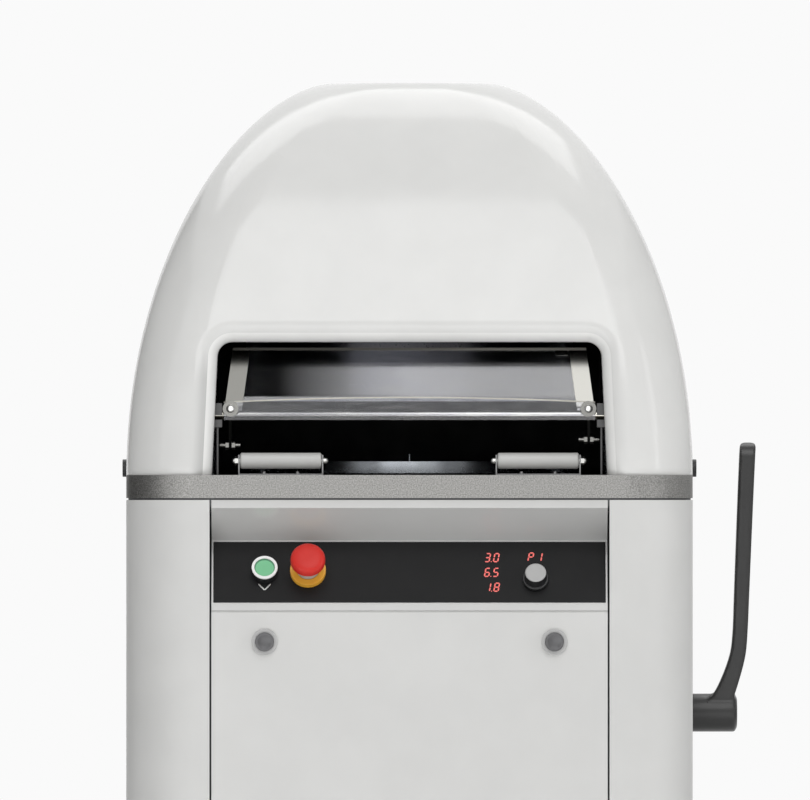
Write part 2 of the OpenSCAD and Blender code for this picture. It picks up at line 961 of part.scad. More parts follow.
module estop_head() {
    low = head_low + seat_gap;
    r = estop_d / 2;
    flare = [for (i = [0 : head_steps])
        let (a = 90 * i / head_steps)
        [r - (r - head_foot_d / 2) * cos(a), low + (head_rim - low) * sin(a)]];
    dome = [for (i = [0 : head_steps])
        let (a = 90 * i / head_steps)
        [r * pow(cos(a), head_round_share),
            head_rim + head_edge + (head_top - head_rim - head_edge) * pow(sin(a), head_round_share)]];
    socket = [[0, low + head_socket_h], [head_socket_d / 2 + fit, low + head_socket_h],
        [head_socket_d / 2 + fit, low]];
    color([0.8, 0.1, 0.08])
        on_plate(estop_x, control_u)
            rotate_extrude()
                polygon(concat(socket, flare, dome));
}

module knob_encoder() {
    color([0.6, 0.6, 0.62])
        on_plate(knob_x, knob_u) {
            translate([0, 0, -encoder_len])
                cylinder(d = encoder_d, h = encoder_len);
            translate([0, 0, -overrun])
                cylinder(d = encoder_shaft_d, h = encoder_shaft_h + overrun);
        }
}

module program_knob() {
    bore = encoder_shaft_d / 2 + fit;
    skirt = skirt_d / 2;
    top = knob_h - knob_lift;
    color([0.68, 0.68, 0.68])
        on_plate(knob_x, knob_u)
            translate([0, 0, knob_lift])
                rotate_extrude()
                    polygon(concat([[bore, 0], [skirt - skirt_edge, 0], [skirt, skirt_edge],
                        [skirt, skirt_h - skirt_edge], [skirt - skirt_edge, skirt_h], [knob_d / 2, skirt_h]],
                        [for (i = [0 : knob_steps])
                            let (a = 90 * i / knob_steps)
                            [knob_d / 2 - knob_taper - knob_round * (1 - cos(a)), top - knob_round * (1 - sin(a))]],
                        [[0, top], [0, encoder_shaft_h + overrun], [bore, encoder_shaft_h + overrun]]));
}

// mouth fittings

module roller_brackets() {
    arm = roller_len / 2 + roller_gap;
    color([0.7, 0.7, 0.7])
        for (s = [-1, 1])
            translate([s * roller_x, roller_y, table_z])
                difference() {
                    union() {
                        translate([-arm - bracket_t, -bracket_w / 2, 0])
                            cube([2 * (arm + bracket_t), bracket_w, bracket_t]);
                        for (x = [-arm - bracket_t, arm])
                            translate([x, -bracket_w / 2, 0])
                                cube([bracket_t, bracket_w, bracket_h]);
                        for (x = [-bracket_screw_x, bracket_screw_x])
                            translate([x, 0, 0])
                                cylinder(d = bracket_screw_d, h = bracket_t + bracket_screw_h);
                    }
                    translate([-roller_len, 0, roller_z])
                        along_x()
                            cylinder(d = axle_d, h = 2 * roller_len);
                }
}

module roller_axles() {
    out = roller_len / 2 + roller_gap + bracket_t;
    color([0.78, 0.78, 0.76])
        for (s = [-1, 1])
            translate([s * roller_x, roller_y, table_z + roller_z]) {
                translate([-out - nut_t, 0, 0])
                    along_x()
                        cylinder(d = axle_d, h = 2 * (out + nut_t));
                translate([s * out, 0, 0])
                    rotate([0, s * 90, 0]) {
                        hex(nut_w, nut_t);
                        translate([0, 0, nut_t])
                            dome(acorn_d);
                    }
                translate([-s * out, 0, 0])
                    rotate([0, -s * 90, 0]) {
                        cylinder(d = acorn_d, h = acorn_foot);
                        translate([0, 0, acorn_foot])
                            dome(acorn_d);
                    }
            }
}

module roller(s) {
    color([0.9, 0.9, 0.88])
        translate([s * roller_x - roller_len / 2, roller_y, table_z + roller_z])
            along_x()
                rotate_extrude()
                    polygon([[axle_d / 2 + fit, 0], [roller_d / 2 - roller_edge, 0], [roller_d / 2, roller_edge],
                        [roller_d / 2, roller_len - roller_edge], [roller_d / 2 - roller_edge, roller_len],
                        [axle_d / 2 + fit, roller_len]]);
}

module roller_left() {
    roller(-1);
}

module roller_right() {
    roller(1);
}

module guard_posts() {
    color([0.62, 0.62, 0.6])
        for (s = [-1, 1])
            translate([0, guard_y, table_z])
                difference() {
                    union() {
                        translate([s * (guard_post_x + guard_post_t / 2) - guard_post_t / 2, -guard_post_d / 2, 0])
                            cube([guard_post_t, guard_post_d, guard_z - block_below + overrun]);
                        translate([s * (block_x0 + block_x1) / 2 - (block_x1 - block_x0) / 2,
                            -block_d / 2, guard_z - block_below])
                            cube([block_x1 - block_x0, block_d, block_below + block_above]);
                    }
                    translate([-side_x, 0, guard_z])
                        along_x()
                            cylinder(d = guard_shaft_d + 2 * fit, h = body_w);
                    translate([-side_x, -block_d, guard_z - block_slot])
                        cube([body_w, block_d, block_slot]);
                }
}

// drop of a crank arm's link bolt: the right one is shorter than the left
function link_drop(s) = s > 0 ? crank_drop - link_rise : crank_drop;

// local y up the guard's slope, local z out of it
module on_guard() {
    translate([0, guard_y, table_z + guard_z])
        rotate([guard_lean, 0, 0])
            children();
}

module guard_frame() {
    color([0.7, 0.7, 0.69])
        union() {
            translate([-guard_half, guard_y, table_z + guard_z])
                along_x()
                    cylinder(d = guard_shaft_d, h = 2 * guard_half);
            for (s = [-1, 1]) {
                on_guard()
                    translate([0, 0, -strap_t / 2])
                        linear_extrude(strap_t)
                            polygon([[s * strap_x0, strap_start], [s * strap_x1, strap_start],
                                [s * (strap_x1 - strap_taper), guard_len],
                                [s * (strap_x0 - strap_taper), guard_len]]);
                translate([s * crank_x, guard_y, table_z + guard_z])
                    run_x(crank_t)
                        polygon([[-crank_w / 2, 0], [crank_back - crank_w / 2, -link_drop(s) - crank_w],
                            [crank_back + crank_w / 2, -link_drop(s) - crank_w], [crank_w / 2, 0]]);
            }
            on_guard()
                translate([0, guard_len, -strap_t / 2])
                    linear_extrude(strap_t) {
                        translate([-bar_x - bar_t, -bar_t])
                            square([2 * (bar_x + bar_t), bar_t]);
                        translate([bar_x - clip_w, -clip_h])
                            square([clip_w, clip_h]);
                    }
        }
}

module guard_shield() {
    steps = strip_steps;
    color([0.6, 0.62, 0.66, 0.5]) {
        on_guard()
            translate([0, 0, -strap_t / 2 - shield_t])
                linear_extrude(shield_t)
                    polygon([[-strap_x1 + shield_edge, shield_start], [strap_x1 - shield_edge, shield_start],
                        [strap_x1 - shield_edge - strap_taper, guard_len - bar_t / 2],
                        [-strap_x1 + shield_edge + strap_taper, guard_len - bar_t / 2]]);
        translate([0, guard_y - strip_front + strip_t, table_z + guard_z])
            out_front()
                linear_extrude(strip_t)
                    difference() {
                        polygon(concat([[-strip_x, -strip_low], [strip_x, -strip_low]],
                            [for (i = [steps : -1 : -steps])
                                [strip_x * i / steps, strip_top + strip_bow * (1 - i * i / (steps * steps))]]));
                        for (s = [-1, 1])
                            translate([s * bolt_x, bolt_z])
                                circle(d = bolt_shank_d + 2 * fit);
                    }
    }
}

module guard_bolts() {
    shank = strip_front + (bolt_z - bolt_shank_d / 2) / tan(guard_lean) - strap_t / 2 / sin(guard_lean) - seat_gap;
    color([0.85, 0.85, 0.83])
        for (s = [-1, 1]) {
            translate([s * bolt_x, guard_y - strip_front, table_z + guard_z + bolt_z])
                out_front() {
                    translate([0, 0, -shank])
                        cylinder(d = bolt_shank_d, h = shank);
                    cylinder(d = washer_d, h = washer_t);
                    translate([0, 0, washer_t])
                        dome(bolt_d);
                }
            translate([s * crank_x, guard_y + crank_back, table_z + guard_z - link_drop(s) - crank_w / 2])
                rotate([0, s * 90, 0]) {
                    translate([0, 0, crank_t / 2])
                        hex(link_nut, link_nut_t);
                    translate([0, 0, crank_t / 2])
                        cylinder(d = link_d, h = link_reach);
                    translate([0, 0, -crank_t / 2 - link_nut_t])
                        hex(link_nut, link_nut_t);
                    translate([0, 0, -crank_t / 2 - link_in])
                        cylinder(d = link_d, h = link_in);
                }
        }
}

// carrier and rounding drive

module carrier_plate() {
    color([0.72, 0.74, 0.77])
        translate([0, head_y + throw, table_z]) {
            difference() {
                union() {
                    translate([0, 0, carrier_z])
                        cylinder(r1 = carrier_r - carrier_bevel, r2 = carrier_r, h = carrier_t);
                    translate([0, 0, -carrier_hub_drop])
                        cylinder(d = carrier_hub_d, h = carrier_hub_drop + carrier_z + overrun);
                    for (s = [-1, 1])
                        translate([s * crank_pos, 0, -guide_boss_drop])
                            cylinder(d = guide_boss_d, h = guide_boss_drop + carrier_z + overrun);
                    cylinder(d = pin_d, h = carrier_z + carrier_t + pin_h);
                }
                translate([0, 0, -carrier_hub_drop - overrun])
                    cylinder(d = carrier_bore, h = carrier_hub_drop + overrun);
                for (s = [-1, 1])
                    translate([s * crank_pos, 0, -guide_boss_drop - overrun])
                        cylinder(d = guide_pin_d + 2 * fit, h = guide_boss_drop + carrier_z + overrun);
            }
        }
}

module carrier_bearing() {
    color([0.55, 0.56, 0.58])
        translate([0, head_y + throw, table_z - carrier_hub_drop])
            tube(carrier_bore, crankpin_d + 2 * fit, carrier_hub_drop - clear);
}

module eccentric_shaft() {
    color([0.6, 0.61, 0.63])
        translate([0, head_y, table_z]) {
            translate([0, 0, -spindle_bottom])
                cylinder(d = spindle_d, h = spindle_bottom - web_top);
            translate([0, 0, -web_top - web_t])
                cylinder(d = web_d, h = web_t);
            translate([0, throw, -web_top - overrun])
                cylinder(d = crankpin_d, h = web_top + overrun - crankpin_top);
        }
}

module pulley_flanges(r) {
    for (z = [0, pulley_t - flange_t])
        translate([0, 0, z])
            cylinder(r = r + flange_out, h = flange_t);
}

module drive_pulley() {
    color([0.3, 0.31, 0.33])
        translate([0, head_y, table_z - pulley_drop])
            difference() {
                union() {
                    cylinder(r = pulley_r, h = pulley_t);
                    pulley_flanges(pulley_r);
                }
                translate([0, 0, pulley_web])
                    tube(2 * (pulley_r - pulley_rim), 2 * spindle_d, pulley_t);
                translate([0, 0, -overrun])
                    cylinder(d = spindle_d, h = pulley_t + 2 * overrun);
            }
}

module guide_crank(s) {
    color([0.58, 0.59, 0.61])
        translate([s * crank_pos, head_y, table_under]) {
            translate([0, 0, -guide_shaft_drop])
                cylinder(d = guide_shaft_d, h = guide_shaft_drop + overrun + overrun);
            translate([0, 0, overrun])
                cylinder(d = guide_web_d, h = guide_web_t);
            translate([0, throw, overrun])
                cylinder(d = guide_pin_d, h = table_t);
        }
}

module guide_crank_left() {
    guide_crank(-1);
}

module guide_crank_right() {
    guide_crank(1);
}

module spindle_housing() {
    color([0.33, 0.36, 0.4])
        translate([0, head_y, deck_under])
            difference() {
                union() {
                    translate([0, 0, -housing_flange_t])
                        cylinder(d = housing_flange_d, h = housing_flange_t);
                    translate([0, 0, -housing_drop])
                        cylinder(d = housing_d, h = housing_drop);
                }
                translate([0, 0, -cavity_drop])
                    cylinder(d = cavity_d, h = cavity_drop + overrun);
                translate([0, 0, -housing_drop - overrun])
                    cylinder(d = bearing_d, h = housing_drop);
            }
}

module spindle_bearings() {
    color([0.7, 0.71, 0.73])
        for (z = [-housing_drop, -cavity_drop - bearing_t])
            translate([0, head_y, deck_under + z])
                tube(bearing_d, spindle_d + 2 * fit, bearing_t);
}

module drive_motor() {
    color([0.22, 0.28, 0.36])
        translate([motor_dx, head_y + motor_dy, deck_under]) {
            translate([-motor_d / 2, -motor_d / 2, -motor_flange_t])
                cube([motor_d, motor_d, motor_flange_t]);
            translate([0, 0, -motor_len])
                cylinder(d = motor_fan_d, h = motor_len);
            translate([0, 0, -motor_len + 2 * motor_flange_t]) {
                for (i = [0 : motor_ribs - 1])
                    rotate([0, 0, 360 * i / motor_ribs])
                        translate([0, -motor_rib_t / 2, 0])
                            cube([motor_fan_d / 2 + motor_rib_h, motor_rib_t, motor_len - 4 * motor_flange_t]);
                translate([-motor_box_w / 2, motor_fan_d / 2 - motor_rib_h, motor_flange_t])
                    cube([motor_box_w, motor_box_d, motor_box_h]);
            }
        }
}

module motor_pulley() {
    shaft = table_z - pulley_drop - deck_under + motor_len;
    color([0.3, 0.31, 0.33])
        translate([motor_dx, head_y + motor_dy, table_z - pulley_drop]) {
            cylinder(r = motor_pulley_r, h = pulley_t);
            pulley_flanges(motor_pulley_r);
            cylinder(d = motor_shaft_d, h = -shaft - seat_gap);
        }
}

module belt_loop(grow) {
    hull() {
        circle(r = pulley_r + grow, $fn = 96);
        translate([motor_dx, motor_dy])
            circle(r = motor_pulley_r + grow, $fn = 96);
    }
}

module drive_belt() {
    color([0.06, 0.06, 0.06])
        translate([0, head_y, table_z - pulley_drop + (pulley_t - belt_w) / 2])
            linear_extrude(belt_w)
                difference() {
                    belt_loop(belt_gap + belt_t);
                    belt_loop(belt_gap);
                }
}

// dividing head

module guide_columns() {
    color([0.75, 0.76, 0.78])
        for (s = [-1, 1])
            translate([s * column_x, head_y, deck_under])
                cylinder(d = column_d, h = table_z + crosshead_z + crosshead_t - deck_under);
}

module crosshead() {
    color([0.45, 0.46, 0.48])
        translate([0, head_y, table_z + crosshead_z])
            linear_extrude(crosshead_t)
                difference() {
                    union() {
                        square([2 * column_x, crosshead_d / 2], center = true);
                        circle(d = crosshead_d + crosshead_t);
                        for (s = [-1, 1])
                            translate([s * column_x, 0])
                                circle(r = crosshead_end);
                    }
                    circle(d = ram_d + clear);
                    for (s = [-1, 1])
                        translate([s * column_x, 0])
                            circle(d = column_d);
                }
}

module press_cylinder() {
    color([0.25, 0.27, 0.3])
        translate([0, head_y, table_z + crosshead_z + crosshead_t])
            difference() {
                cylinder(d = cylinder_d, h = cylinder_h);
                translate([0, 0, cylinder_foot])
                    cylinder(d = cylinder_bore, h = cylinder_h - cylinder_foot - cylinder_cap);
                translate([0, 0, -overrun])
                    cylinder(d = ram_d + 2 * fit, h = cylinder_foot + 2 * overrun);
            }
}

module press_plate() {
    color([0.66, 0.67, 0.69])
        translate([0, head_y, table_z + press_z])
            difference() {
                union() {
                    cylinder(r = press_plate_r, h = press_t);
                    translate([-column_x, -boss_d / 2, 0])
                        cube([2 * column_x, boss_d, press_t]);
                    for (s = [-1, 1])
                        translate([s * column_x, 0, 0])
                            cylinder(d = boss_d, h = boss_h);
                    translate([column_x, -stop_lug_d / 2, 0])
                        cube([stop_x - column_x, stop_lug_d, press_t]);
                    translate([stop_x, 0, -stop_lug_drop])
                        cylinder(d = stop_lug_d, h = stop_lug_drop + press_t);
                }
                for (s = [-1, 1])
                    translate([s * column_x, 0, -overrun])
                        cylinder(d = column_d + 2 * bush_wall, h = boss_h + 2 * overrun);
                for (i = [0 : knife_rods - 1])
                    rotate([0, 0, 45 + 90 * i])
                        translate([die_r + knife_ring_t / 2, 0, -overrun])
                            cylinder(d = knife_rod_d + 2 * fit, h = press_t + 2 * overrun);
            }
}

module guide_bushes() {
    color([0.72, 0.56, 0.3])
        for (s = [-1, 1])
            translate([s * column_x, head_y, table_z + press_z])
                tube(column_d + 2 * bush_wall, column_d + 2 * fit, boss_h);
}

function die_ring(i) = die_r * sqrt(ring_sum[i] / ring_sum[3]);

module press_pistons() {
    slot = blade_t + 2 * die_gap;
    color([0.85, 0.86, 0.86])
        translate([0, head_y, table_z + face_z])
            for (k = [0 : 2])
                difference() {
                    if (k == 0)
                        cylinder(r = die_ring(1) - slot / 2, h = piston_h);
                    else
                        tube(2 * (die_ring(k + 1) - (k == 2 ? die_gap : slot / 2)), 2 * die_ring(k) + slot, piston_h);
                    for (i = [0 : rings[k] - 1])
                        rotate([0, 0, 360 * i / rings[k]])
                            translate([0, -slot / 2, -overrun])
                                cube([die_r, slot, piston_h + 2 * overrun]);
                }
}

module press_ring() {
    color([0.7, 0.71, 0.73])
        translate([0, head_y, table_z + face_z - press_ring_drop])
            tube(2 * press_ring_ro, 2 * press_ring_ri, piston_h + press_ring_drop);
}

module ram() {
    top = crosshead_z + crosshead_t + cylinder_h - cylinder_cap - ram_piston_gap;
    low = press_z + press_t;
    color([0.8, 0.81, 0.83])
        translate([0, head_y, table_z]) {
            translate([0, 0, low])
                cylinder(d = ram_d, h = top - low);
            translate([0, 0, top - ram_piston_t])
                cylinder(d = cylinder_bore - 2 * fit, h = ram_piston_t);
        }
}

module knife_grid() {
    color([0.78, 0.79, 0.8])
        translate([0, head_y, table_z + face_z + knife_lift])
            union() {
                tube(2 * (die_r + knife_ring_t), 2 * die_r, blade_h);
                for (k = [1, 2])
                    tube(2 * die_ring(k) + blade_t, 2 * die_ring(k) - blade_t, blade_h);
                for (k = [0 : 2], i = [0 : rings[k] - 1])
                    rotate([0, 0, 360 * i / rings[k]])
                        translate([k == 0 ? 0 : die_ring(k), -blade_t / 2, 0])
                            cube([die_ring(k + 1) - (k == 0 ? 0 : die_ring(k)) + overrun, blade_t, blade_h]);
            }
}

module knife_yoke() {
    rod_r = die_r + knife_ring_t / 2;
    low = face_z + knife_lift + blade_h;
    yoke_z = press_z + press_t + knife_stroke + yoke_gap;
    color([0.5, 0.51, 0.53])
        translate([0, head_y, table_z])
            difference() {
                union() {
                    translate([0, 0, yoke_z])
                        tube(2 * rod_r + yoke_w, 2 * rod_r - yoke_w, yoke_t);
                    translate([0, 0, yoke_z])
                        cylinder(d = yoke_hub_d, h = yoke_hub_h);
                    for (i = [0 : knife_rods - 1])
                        rotate([0, 0, 45 + 90 * i]) {
                            translate([0, -yoke_w / 2, yoke_z])
                                cube([rod_r, yoke_w, yoke_t]);
                            translate([rod_r, 0, low])
                                cylinder(d = knife_rod_d, h = yoke_z + overrun - low);
                        }
                }
                translate([0, 0, yoke_z - overrun])
                    cylinder(d = ram_d + 2 * fit, h = yoke_hub_h + 2 * overrun);
            }
}

// side lever

// smooth curve through a list of points, in a few steps from each to the next
function curve_point(p, i, u) =
    let (a = p[max(0, i - 1)], b = p[i], c = p[i + 1], d = p[min(len(p) - 1, i + 2)])
    (2 * b + u * (c - a) + u * u * (2 * a - 5 * b + 4 * c - d) + u * u * u * (3 * b - a - 3 * c + d)) / 2;
function curve(p, steps) = concat(
    [for (i = [0 : len(p) - 2], k = [0 : steps - 1]) curve_point(p, i, k / steps)], [p[len(p) - 1]]);
function lever_edge(shares) = curve(
    [for (i = [0 : len(shares) - 1]) [shares[i] * lever_reach, lever_rise_shares[i] * lever_h]], lever_steps);

// quarter round at the lever's top, from one angle to another
function lever_corner(x, from, to) =
    [for (a = [from : -lever_round_step : to]) [x, lever_h - lever_round] + lever_round * [cos(a), sin(a)]];

module side_lever() {
    inner = lever_edge(lever_in_shares);
    outer = lever_edge(lever_out_shares);
    last = len(inner) - 1;
    top = concat(lever_corner(inner[last][0] + lever_round, 180, 90),
        lever_corner(outer[last][0] - lever_round, 90, 0));
    color([0.2, 0.2, 0.2])
        translate([side_x, head_y, lever_z])
            difference() {
                union() {
                    translate([hub_gap, 0, 0])
                        along_x() {
                            cylinder(d = hub_d, h = hub_len - hub_dome);
                            translate([0, 0, hub_len - hub_dome])
                                cylinder(d1 = hub_d, d2 = hub_d - 4 * hub_dome, h = hub_dome);
                        }
                    intersection() {
                        translate([0, lever_w / 2, 0])
                            out_front()
                                linear_extrude(lever_w)
                                    polygon(concat([for (i = [0 : last - 1]) inner[i]], top,
                                        [for (i = [last - 1 : -1 : 0]) outer[i]]));
                        run_x(4 * lever_reach)
                            union() {
                                translate([-lever_w / 2, 0])
                                    square([lever_w, lever_h - lever_w / 2]);
                                translate([0, lever_h - lever_w / 2])
                                    circle(d = lever_w);
                            }
                    }
                }
                translate([-hub_gap, 0, 0])
                    along_x()
                        cylinder(d = lever_shaft_d, h = hub_len - 2 * hub_dome);
            }
}

module lever_shaft() {
    color([0.6, 0.61, 0.63])
        translate([side_x, head_y, lever_z]) {
            translate([-lever_shaft_in, 0, 0])
                along_x()
                    cylinder(d = lever_shaft_d, h = lever_shaft_in + hub_len - 2 * hub_dome - hub_gap);
            translate([stop_x - side_x, 0, 0])
                run_x(cam_t) {
                    polygon(concat([[0, 0]],
                        [for (a = [cam_from : cam_step : cam_to])
                            (cam_r + cam_lift * a / cam_turn) * [sin(a), cos(a)]]));
                    circle(d = cam_hub_d);
                }
        }
}

module lever_bearing() {
    rail_x = post_x + post_w / 2;
    color([0.42, 0.43, 0.45])
        difference() {
            union() {
                translate([rail_x, -post_y - post_w / 2, lever_z - rail_h / 2])
                    cube([rail_t, 2 * post_y + post_w, rail_h]);
                translate([rail_x + clear, head_y, lever_z])
                    along_x()
                        cylinder(d = bearing_boss_d, h = bearing_boss_len);
            }
            translate([rail_x - rail_t, head_y, lever_z])
                along_x()
                    cylinder(d = lever_shaft_d + 2 * fit, h = bearing_boss_len + 4 * rail_t);
        }
}

module stop_rod() {
    low = lever_z + cam_r + stop_gap;
    color([0.7, 0.71, 0.72])
        translate([stop_x, head_y, 0]) {
            translate([0, 0, low + stop_d / 2])
                sphere(d = stop_d);
            translate([0, 0, low + stop_d / 2])
                cylinder(d = stop_d, h = table_z + stop_top - low - stop_d / 2);
        }
}

// pressing drive and supply

module oil_tank() {
    color([0.24, 0.3, 0.36])
        translate([0, tank_y, base_top])
            difference() {
                linear_extrude(tank_h)
                    rounded_rect(tank_w, tank_d, tank_r);
                translate([0, 0, tank_wall])
                    linear_extrude(tank_h)
                        rounded_rect(tank_w - 2 * tank_wall, tank_d - 2 * tank_wall, tank_r - tank_wall);
            }
}

module pump_motor() {
    color([0.2, 0.27, 0.36])
        translate([0, tank_y, base_top + tank_h]) {
            linear_extrude(tank_lid_t)
                rounded_rect(tank_w, tank_d, tank_r);
            cylinder(d = pump_flange_d, h = pump_flange_t + tank_lid_t);
            cylinder(d = pump_d, h = pump_h);
            for (i = [0 : pump_fins - 1])
                rotate([0, 0, 360 * i / pump_fins])
                    translate([0, -fin_t / 2, pump_flange_t])
                        cube([pump_d / 2 + fin_h, fin_t, pump_h - 3 * pump_flange_t]);
        }
}

module cable_gland() {
    color([0.15, 0.15, 0.15])
        translate([gland_x, back_y, gland_z])
            rotate([-90, 0, 0])
                difference() {
                    union() {
                        hex(gland_hex, gland_hex_t);
                        cylinder(d = gland_d, h = gland_out);
                        translate([0, 0, -panel_t - gland_in])
                            cylinder(d = gland_d, h = panel_t + gland_in + overrun);
                        translate([0, 0, -panel_t - gland_hex_t])
                            hex(gland_hex, gland_hex_t);
                    }
                    translate([0, 0, -gland_out])
                        cylinder(d = gland_bore, h = 3 * gland_out);
                }
}

base_plate();
levelling_feet();
frame_posts();
top_plate();
table_top();
side_panel_left();
side_panel_right();
back_panel();
front_panel();
console();
control_plate();
lock_rings();
lock_left();
lock_right();
hood();
hood_caps();
start_bezel();
start_ring();
start_cap();
estop_collar();
estop_stem();
estop_head();
knob_encoder();
program_knob();
roller_brackets();
roller_axles();
roller_left();
roller_right();
guard_posts();
guard_frame();
guard_shield();
guard_bolts();
carrier_plate();
carrier_bearing();
guide_columns();
crosshead();
press_cylinder();
press_plate();
guide_bushes();
press_pistons();
press_ring();
ram();
knife_grid();
knife_yoke();
spindle_housing();
spindle_bearings();
eccentric_shaft();
drive_pulley();
guide_crank_left();
guide_crank_right();
drive_motor();
motor_pulley();
drive_belt();
oil_tank();
pump_motor();
side_lever();
lever_shaft();
lever_bearing();
stop_rod();
cable_gland();
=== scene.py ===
"""Looks of an automatic divider rounder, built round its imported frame. Metres, +Z up, front at -Y."""

import json
import math

import bmesh
import bpy
from mathutils import Matrix, Vector


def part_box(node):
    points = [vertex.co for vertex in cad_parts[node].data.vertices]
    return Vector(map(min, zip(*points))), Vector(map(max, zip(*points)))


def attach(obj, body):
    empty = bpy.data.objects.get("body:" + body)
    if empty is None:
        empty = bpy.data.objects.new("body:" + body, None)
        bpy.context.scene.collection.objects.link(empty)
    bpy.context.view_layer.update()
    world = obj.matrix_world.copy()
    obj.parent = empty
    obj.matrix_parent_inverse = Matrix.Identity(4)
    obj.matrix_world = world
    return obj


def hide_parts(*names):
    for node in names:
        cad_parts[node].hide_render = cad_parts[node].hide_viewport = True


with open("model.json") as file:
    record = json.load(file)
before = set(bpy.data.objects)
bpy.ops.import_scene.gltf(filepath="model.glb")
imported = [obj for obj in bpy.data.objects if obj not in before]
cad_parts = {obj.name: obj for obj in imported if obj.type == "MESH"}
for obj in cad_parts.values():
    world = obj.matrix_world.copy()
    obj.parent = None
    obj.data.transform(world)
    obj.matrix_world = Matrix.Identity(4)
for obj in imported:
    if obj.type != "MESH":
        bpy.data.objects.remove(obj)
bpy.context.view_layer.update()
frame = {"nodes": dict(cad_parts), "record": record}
nodes = frame["nodes"]
slot_of = {part["node"]: part["material_slot"] for part in frame["record"]["subparts"]}

MM = 0.001

# Places that the frame's boxes give
TABLE_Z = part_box("table_top")[1].z
FRONT_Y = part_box("front_panel")[0].y
HALF_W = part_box("side_panel_right")[1].x
HOOD_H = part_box("hood")[1].z - TABLE_Z
GUARD_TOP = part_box("guard_frame")[1].z
PLATE_LOW, PLATE_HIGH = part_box("control_plate")
PLATE_MIDDLE = (PLATE_LOW + PLATE_HIGH) / 2

# Hood and mouth: driving sizes that the boxes don't give
CORNER_R = 80 * MM
CROWN_W = 184 * MM
FRONT_RUN = 232 * MM
BACK_RUN = 177 * MM
HOOD_SET = 3 * MM
HOOD_WALL = 4 * MM
ARCH_POWER = 0.605
BACK_POWER = 0.5
MOUTH_W = 448.8 * MM
MOUTH_TOP_W = 434.6 * MM
MOUTH_H = 151 * MM
MOUTH_R = 17 * MM
LIP_R = 26 * MM

# Guard: heights over the table, and sizes of its rail, top bar, bolts and clear strip
CRANK_FOOT = 20 * MM
GUARD_Z = 68.1 * MM
RAIL_DROP = 6 * MM
# Painted bands on the round rail, over its foot: a lower painted highlight up to the first height, painted
# shade up to the second, and a bright painted highlight above
RAIL_SHADE_FROM = 2 * MM
RAIL_HIGHLIGHT_FROM = 5 * MM
RAIL_H = 9 * MM
BAR_H = 3 * MM
BOLT_HEAD = 5 * MM
STRIP_TOP = 83.1 * MM
STRIP_BOW = 5.5 * MM
STRIP_T = 2 * MM
STRIP_HALF = 211 * MM

# Control plate: its slope from run and rise, its thickness, and the reach of the knob's black part
TILT = math.atan2(41, 72.3)
PLATE_OUT = Vector((0, -math.cos(TILT), math.sin(TILT)))
PLATE_UP = Vector((0, math.sin(TILT), math.cos(TILT)))
PLATE_T = 1.2 * MM
KNOB_CAP = 17.4 * MM

# The photograph: its size in pixels, metres per pixel at the front of the cabinet,
# the cabinet's middle and the table's height
PHOTO_W, PHOTO_H = 810, 800
PIXEL = 1.135 * MM
MIDDLE_PX = 409.5
TABLE_PY = 475

# Colours that several materials share
WHITE = (0.80, 0.80, 0.785)
BLACK = (0.012, 0.012, 0.013)
GREEN = (0.16, 0.55, 0.27)


# Shader nodes

def new_material(name, colour, roughness, **more):
    """A Principled material. Further sockets are given by name, with _ for a space."""
    made = bpy.data.materials.new(name)
    made.use_nodes = True
    shader = shader_of(made)
    shader.inputs["Base Color"].default_value = (*colour, 1)
    shader.inputs["Roughness"].default_value = roughness
    for socket, value in more.items():
        shader.inputs[socket.replace("_", " ")].default_value = value
    return made


def shader_of(made):
    return made.node_tree.nodes["Principled BSDF"]


def add_node(made, kind, **values):
    """A node in a material or world. Sockets are given by name, with _ for a space."""
    node = made.node_tree.nodes.new(kind)
    for socket, value in values.items():
        node.inputs[socket.replace("_", " ")].default_value = value
    return node


def link(made, source, target):
    made.node_tree.links.new(source, target)


def position(made):
    """The shaded point in the frame, as a vector socket."""
    return add_node(made, "ShaderNodeTexCoord").outputs["Object"]


def axes(made):
    """The shaded point's X, Y and Z sockets."""
    split = add_node(made, "ShaderNodeSeparateXYZ")
    link(made, position(made), split.inputs["Vector"])
    return split.outputs


def measure(made, operation, vector):
    """The shaded point's DOT_PRODUCT with a vector, or its DISTANCE from one."""
    node = add_node(made, "ShaderNodeVectorMath")
    node.operation = operation
    node.inputs[1].default_value = vector
    link(made, position(made), node.inputs[0])
    return node.outputs["Value"]


def between(made, value, low, high, start=0.0, stop=1.0, smooth=False):
    """Runs from start to stop while the value runs from low to high. start and stop may be sockets."""
    span = add_node(made, "ShaderNodeMapRange", From_Min=low, From_Max=high)
    if smooth:
        span.interpolation_type = "SMOOTHSTEP"
    for socket, end in (("To Min", start), ("To Max", stop)):
        if isinstance(end, bpy.types.NodeSocket):
            link(made, end, span.inputs[socket])
        else:
            span.inputs[socket].default_value = end
    link(made, value, span.inputs["Value"])
    return span.outputs["Result"]


def noise(made, scale, detail=3.0, stretch=(1, 1, 1)):
    """Noise in the piece's own space. The scale is in cells per metre."""
    mapping = add_node(made, "ShaderNodeMapping", Scale=stretch)
    texture = add_node(made, "ShaderNodeTexNoise", Scale=scale, Detail=detail)
    link(made, position(made), mapping.inputs["Vector"])
    link(made, mapping.outputs["Vector"], texture.inputs["Vector"])
    return texture.outputs["Fac"]


def tint(made, factor, low, high, start=0.35, stop=0.65):
    """Base colour running from low to high while the factor runs from start to stop."""
    ramp = add_node(made, "ShaderNodeValToRGB")
    ends = ((start, low), (stop, high))
    for element, (place, colour) in zip(ramp.color_ramp.elements, ends):
        element.position = place
        element.color = (*colour, 1)
    link(made, factor, ramp.inputs["Fac"])
    link(made, ramp.outputs["Color"], shader_of(made).inputs["Base Color"])


